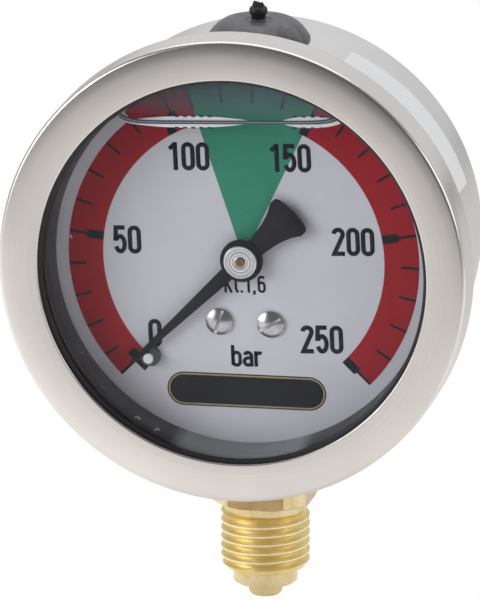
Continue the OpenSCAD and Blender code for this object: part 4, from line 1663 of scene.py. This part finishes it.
@dataclass
class Filling:
    """What shows of the filling, drawn as thin plates with painted light and shade: its level line and
    edges, the air above it and small bubbles.

    The depths are measured back from the window's inner face.
    """

    bench: Bench
    palette: Palette
    level: float = 21.82
    tilt: float = 3.0
    left_end: float = -17.2
    right_end: float = 15.7
    line_half: float = 0.27
    line_rise: float = 1.15
    line_swell: float = 0.5
    line_depth: float = 0.35
    core_share: float = 0.36
    core_swell: float = 0.2
    lens_half: float = 0.86
    lens_depth: float = 0.5
    lens_steps: int = 32
    dash: float = 0.62
    dash_width: float = 0.26
    air_r: float = 28.0
    air_lift: float = 0.4
    air_depth: float = 0.6
    bubble_depth: float = 0.3
    bubble_wall: float = 0.55
    bubble_spots: tuple[tuple[float, float, float, float], ...] = (
        (-14.7, -23.85, 0.52, -15.0), (-11.7, -25.4, 0.46, 0.0), (-19.9, -19.4, 0.2, -20.0),
        (-22.9, -14.3, 0.2, 0.0), (-24.6, 3.2, 0.34, -60.0))

    def build(self) -> None:
        """Builds the level line, the air above it and the bubbles."""
        self.line()
        self.lenses()
        self.air()
        self.bubbles()

    def spot(self, x: float, lift: float) -> Point:
        """A point on the tilted level line.

        Args:
            x: place to the right of the centre.
            lift: height above the line.

        Returns:
            The point.
        """
        return (x, self.level + math.tan(math.radians(self.tilt)) * x + lift)

    def ribbon(self, half: float, swell: float, low: float, high: float) -> bmesh.types.BMesh:
        """A strip along the level line that turns up at both ends.

        Args:
            half: half the strip's width in the middle.
            swell: how much wider the ends are.
            low: back of the strip.
            high: front of the strip.

        Returns:
            The mesh.
        """
        upper, lower = [], []
        count = 48
        for k in range(count + 1):
            reach = 2 * k / count - 1
            x = self.left_end + (self.right_end - self.left_end) * k / count
            rise = self.line_rise * abs(reach) ** 12
            wide = half * (1 + swell * abs(reach) ** 8)
            upper.append(self.spot(x, rise + wide))
            lower.append(self.spot(x, rise - wide))
        return slab(lower + upper[::-1], low, high)

    def line(self) -> None:
        """Painted shade: the dark edge where the liquid meets the window, with a paler painted core."""
        depth = self.bench.layout.window_back - self.line_depth
        dark = self.ribbon(self.line_half, self.line_swell, depth, depth + 0.1)
        self.bench.dial_piece("liquid_line", dark, self.palette.edge_dark, slot="window_plastic")
        core = self.ribbon(self.line_half * self.core_share, self.core_swell,
                           depth + 0.05, depth + 0.14)
        self.bench.dial_piece("liquid_line_core", core, self.palette.edge_grey,
                              slot="window_plastic")

    def lenses(self) -> None:
        """Painted reflection: the pale lens-shaped edges of the liquid, with a row of dark dashes of
        painted shade along them.
        """
        depth = self.bench.layout.window_back - self.lens_depth
        dashes = bmesh.new()
        for name, start, end, first, last in (
            ("liquid_edge_left", self.left_end + 0.9, 2.4, -9.3, -3.2),
            ("liquid_edge_right", 6.6, self.right_end - 0.1, 8.0, 13.4),
        ):
            upper, lower = [], []
            for k in range(self.lens_steps + 1):
                t = k / self.lens_steps
                swell = self.lens_half * math.sin(math.pi * t) ** 0.6
                x = start + (end - start) * t
                upper.append(self.spot(x, swell))
                lower.append(self.spot(x, -swell))
            lens = slab(lower + upper[-2:0:-1], depth, depth + 0.04)
            self.bench.dial_piece(name, lens, self.palette.edge_light, slot="window_plastic")
            steps = round((last - first) / (2 * self.dash))
            for k in range(steps):
                x = first + (last - first) * (k + 0.5) / steps
                for side in (-1, 1):
                    place = Matrix.Translation((*self.spot(x, side * self.lens_half), depth + 0.06))
                    size = Matrix.Diagonal((self.dash, self.dash_width, 0.08, 1))
                    bmesh.ops.create_cube(dashes, size=1.0, matrix=place @ size)
        self.bench.dial_piece("liquid_edge_dashes", dashes, self.palette.edge_dark,
                              slot="window_plastic")

    def air(self) -> None:
        """Painted shade over the pocket of air above the liquid: a darker, bluish veil."""
        depth = self.bench.layout.window_back - self.air_depth
        start = math.degrees(math.asin((self.level + self.air_lift) / self.air_r))
        veil = slab(arc(0, 0, self.air_r, start, 180 - start, 40), depth, depth + 0.02)
        self.bench.dial_piece("air_pocket", veil, self.palette.air, slot="window_plastic")

    def bubbles(self) -> None:
        """Small bubbles under the window near its lower edge, each a pale crescent: painted highlight.
        """
        depth = self.bench.layout.window_back - self.bubble_depth
        bm = bmesh.new()
        for x, y, r, turn in self.bubble_spots:
            known = set(bm.verts)
            band(bm, r * self.bubble_wall, r, 20, 165, depth, depth + 0.05)
            spin = Matrix.Translation((x, y, 0)) @ Matrix.Rotation(math.radians(turn), 4, "Z")
            moon = [v for v in bm.verts if v not in known]
            bmesh.ops.transform(bm, matrix=spin, verts=moon)
        self.bench.dial_piece("bubbles", bm, self.palette.bubble, slot="window_plastic")


# ---------------------------------------------------------------- movement


@dataclass
class Movement:
    """The bending tube, and the finishes of the construction's own inner pieces.

    The tube's bend is given as two places along X, which nothing reads: the tube keeps its place and
    rides on no body.
    """

    bench: Bench
    palette: Palette
    bend: Bend = Bend(Body.TUBE_TIP, 6.0, 13.8)

    def build(self) -> None:
        """Makes the tube, and dresses the construction nodes that nothing replaces."""
        self.tube()
        finishes = {
            self.palette.movement: ["pinion_shaft", "hairspring_collet", "hairspring_stud",
                                    "sector_gear", "link", "tip_block", "front_plate", "back_plate",
                                    "plate_pillars", "shaft_bushes", "arbor_bushes"],
            self.palette.bronze: ["hairspring"],
            self.palette.steel: ["sector_arbor", "tail_pin", "tip_pin", "plate_screws",
                                 "movement_screws", "restrictor", "case_saddle"],
            self.palette.brass: ["socket_nut"],
            self.palette.rubber: ["socket_seal"],
        }
        for finish, names in finishes.items():
            for name in names:
                frame["nodes"][name].material_slots[0].material = finish
                LOG.info("%s: construction node dressed", name)

    def tube(self) -> None:
        """The curved tube, made from the construction's mesh; it keeps its place and rides on no body.
        """
        bm = bmesh.new()
        bm.from_mesh(frame["nodes"]["bourdon_tube"].data)
        bmesh.ops.remove_doubles(bm, verts=bm.verts, dist=1e-6)
        bmesh.ops.transform(bm, matrix=Matrix.Scale(1 / MM, 4), verts=bm.verts)
        self.bench.piece("curved_pressure_tube", bm, Matrix.Scale(MM, 4), self.palette.bronze,
                         slot="spring_bronze", replaces=["bourdon_tube"], bend=self.bend)


# ---------------------------------------------------------------- studio


@dataclass(frozen=True)
class Softbox:
    """A square area lamp: its place and side in metres, its watts and its colour."""

    name: str
    where: Place
    size: float
    power: float
    tint: Colour = (1.0, 1.0, 1.0)

    def build(self, target: Vector) -> None:
        """Adds the lamp.

        Args:
            target: the point in metres that it looks at.
        """
        lamp = bpy.data.lights.new(self.name, "AREA")
        lamp.shape = "SQUARE"
        lamp.size = self.size
        lamp.energy = self.power
        lamp.color = self.tint
        made = bpy.data.objects.new(self.name, lamp)
        made.location = self.where
        made.rotation_euler = (target - made.location).to_track_quat("-Z", "Y").to_euler()
        bpy.context.scene.collection.objects.link(made)


@dataclass
class Studio:
    """Floor, room, soft lights and the camera.

    The paper's tone falls from light to dark between its near and far distance from its centre; this
    darkening is painted shade.
    Each glow is a round place where the paper shines on the gauge, up to its near distance, and
    fades out towards its far one.
    """

    layout: Layout
    azimuth: float = 12.4
    elevation: float = 16.1
    roll: float = -0.1
    distance: float = 1.52
    aim: Place = (-1.6, -10.0, -7.8)
    lens: float = 781.6
    floor_gap: float = 0.0004
    floor_half: float = 6.0
    paper_centre: Place = (-0.16, 0.9, 0.0)
    paper_near: float = 0.98
    paper_far: float = 1.32
    paper_light: Colour = (0.95, 0.935, 0.92)
    paper_dark: Colour = (0.2, 0.2, 0.21)
    glow_tint: Colour = (1.0, 0.97, 0.94)
    glow_strength: float = 0.49
    glows: tuple[tuple[Place, float, float], ...] = (
        ((-0.13, -0.13, 0.0), 0.08, 0.32), ((0.24, -0.04, 0.0), 0.06, 0.22))
    room_tint: Colour = (0.97, 0.985, 1.0)
    room_depth: Point = (-0.35, 0.8)
    room_strength: Point = (0.14, 0.75)
    softboxes: tuple[Softbox, ...] = (
        Softbox("left_box", (-0.72, -0.52, 0.3), 0.6, 3.1),
        Softbox("top_box", (-0.05, 0.3, 0.8), 0.9, 2.7),
        Softbox("right_box", (0.7, -0.2, 0.25), 0.4, 1.0, (1.0, 0.98, 0.95)),
    )

    def build(self) -> None:
        """Sets up the whole studio."""
        self.floor()
        self.world()
        self.lights()
        self.camera()

    def target(self) -> Vector:
        """The point the camera looks at, in metres."""
        return Vector(self.aim) * MM + Vector((0, 0, self.layout.centre * MM))

    def floor(self) -> None:
        """A plain pale floor just under the gauge that shines back on it and looks white."""
        sheet = NodeSheet("studio_white")
        sheet.set(Roughness=0.9, Emission_Strength=self.glow_strength)
        flat = (1, 1, 0)
        away = sheet.reach(self.paper_centre, flat)
        # Painted shade: the paper darkens away from its centre.
        fade = sheet.span(away, 0.0, 1.0, self.paper_near, self.paper_far)
        sheet.colour(sheet.blend(fade, self.paper_light, self.paper_dark))
        both = sheet.node("ShaderNodeMath", operation="MULTIPLY")
        for (centre, near, far), factor in zip(self.glows, both.inputs):
            sheet.link(sheet.span(sheet.reach(centre, flat), 0.0, 1.0, near, far), factor)
        glow = sheet.blend(both.outputs[0], self.glow_tint, (0.0, 0.0, 0.0))
        sheet.link(glow, sheet.shader.inputs["Emission Color"])
        path = sheet.node("ShaderNodeLightPath")
        paper = sheet.node("ShaderNodeEmission")
        mix = sheet.node("ShaderNodeMixShader")
        sheet.link(path.outputs["Is Camera Ray"], mix.inputs[0])
        sheet.link(sheet.shader.outputs[0], mix.inputs[1])
        sheet.link(paper.outputs[0], mix.inputs[2])
        sheet.link(mix.outputs[0], sheet.output.inputs["Surface"])
        bm = bmesh.new()
        height = CAD_BOX[0][2] - self.floor_gap
        bmesh.ops.create_grid(bm, x_segments=1, y_segments=1, size=self.floor_half,
                              matrix=Matrix.Translation((0, 0, height)))
        made = into_scene("studio_floor", bm)
        made.data.materials.append(sheet.material)

    def world(self) -> None:
        """A pale room, brighter behind the gauge than before it, that the camera sees as white."""
        world = bpy.data.worlds.new("studio_room")
        bpy.context.scene.world = world
        world.use_nodes = True
        tree = world.node_tree
        room, output = tree.nodes["Background"], tree.nodes["World Output"]
        room.inputs["Color"].default_value = (*self.room_tint, 1.0)
        coords = tree.nodes.new("ShaderNodeTexCoord")
        parts = tree.nodes.new("ShaderNodeSeparateXYZ")
        fade = tree.nodes.new("ShaderNodeMapRange")
        map_range(fade, self.room_depth, self.room_strength)
        tree.links.new(coords.outputs["Generated"], parts.inputs[0])
        tree.links.new(parts.outputs["Y"], fade.inputs["Value"])
        tree.links.new(fade.outputs[0], room.inputs["Strength"])
        white = tree.nodes.new("ShaderNodeBackground")
        path = tree.nodes.new("ShaderNodeLightPath")
        mix = tree.nodes.new("ShaderNodeMixShader")
        tree.links.new(path.outputs["Is Camera Ray"], mix.inputs[0])
        tree.links.new(room.outputs[0], mix.inputs[1])
        tree.links.new(white.outputs[0], mix.inputs[2])
        tree.links.new(mix.outputs[0], output.inputs["Surface"])
        white.inputs["Color"].default_value = (1, 1, 1, 1)

    def lights(self) -> None:
        """A soft key from the front left, a light above and behind, and a fill from the right."""
        for softbox in self.softboxes:
            softbox.build(self.target())

    def camera(self) -> None:
        """The camera, looking at the dial from the right and a little above."""
        a, e, roll = (math.radians(v) for v in (self.azimuth, self.elevation, self.roll))
        back = Vector((math.sin(a) * math.cos(e), -math.cos(a) * math.cos(e), math.sin(e)))
        right = Vector((math.cos(a), math.sin(a), 0.0))
        up = back.cross(right)
        turned_right = right * math.cos(roll) + up * math.sin(roll)
        turned_up = up * math.cos(roll) - right * math.sin(roll)
        lens = bpy.data.cameras.new("gauge_camera")
        lens.sensor_fit = "HORIZONTAL"
        lens.sensor_width = 36.0
        lens.lens = self.lens
        lens.clip_start = 0.05
        lens.clip_end = 20.0
        made = bpy.data.objects.new("gauge_camera", lens)
        turn = Matrix((turned_right, turned_up, back)).transposed().to_4x4()
        made.matrix_world = Matrix.Translation(self.target() + back * self.distance) @ turn
        bpy.context.scene.collection.objects.link(made)
        bpy.context.scene.camera = made


def main() -> None:
    """Builds the gauge's looks, then the studio."""
    logging.basicConfig(level=logging.INFO, format="%(name)s: %(message)s")
    bpy.context.scene.view_settings.view_transform = "Standard"
    layout = Layout.read()
    palette = Palette(layout)
    bench = Bench(layout)
    sub_assemblies = [
        kind(bench, palette)
        for kind in (Housing, Dial, PointerSet, DialFasteners, Connection, VentPlug, Filling, Movement)
    ]
    for made in (*sub_assemblies, Studio(layout)):
        made.build()
        LOG.info("%s: built", type(made).__name__)


if __name__ == "__main__":
    main()
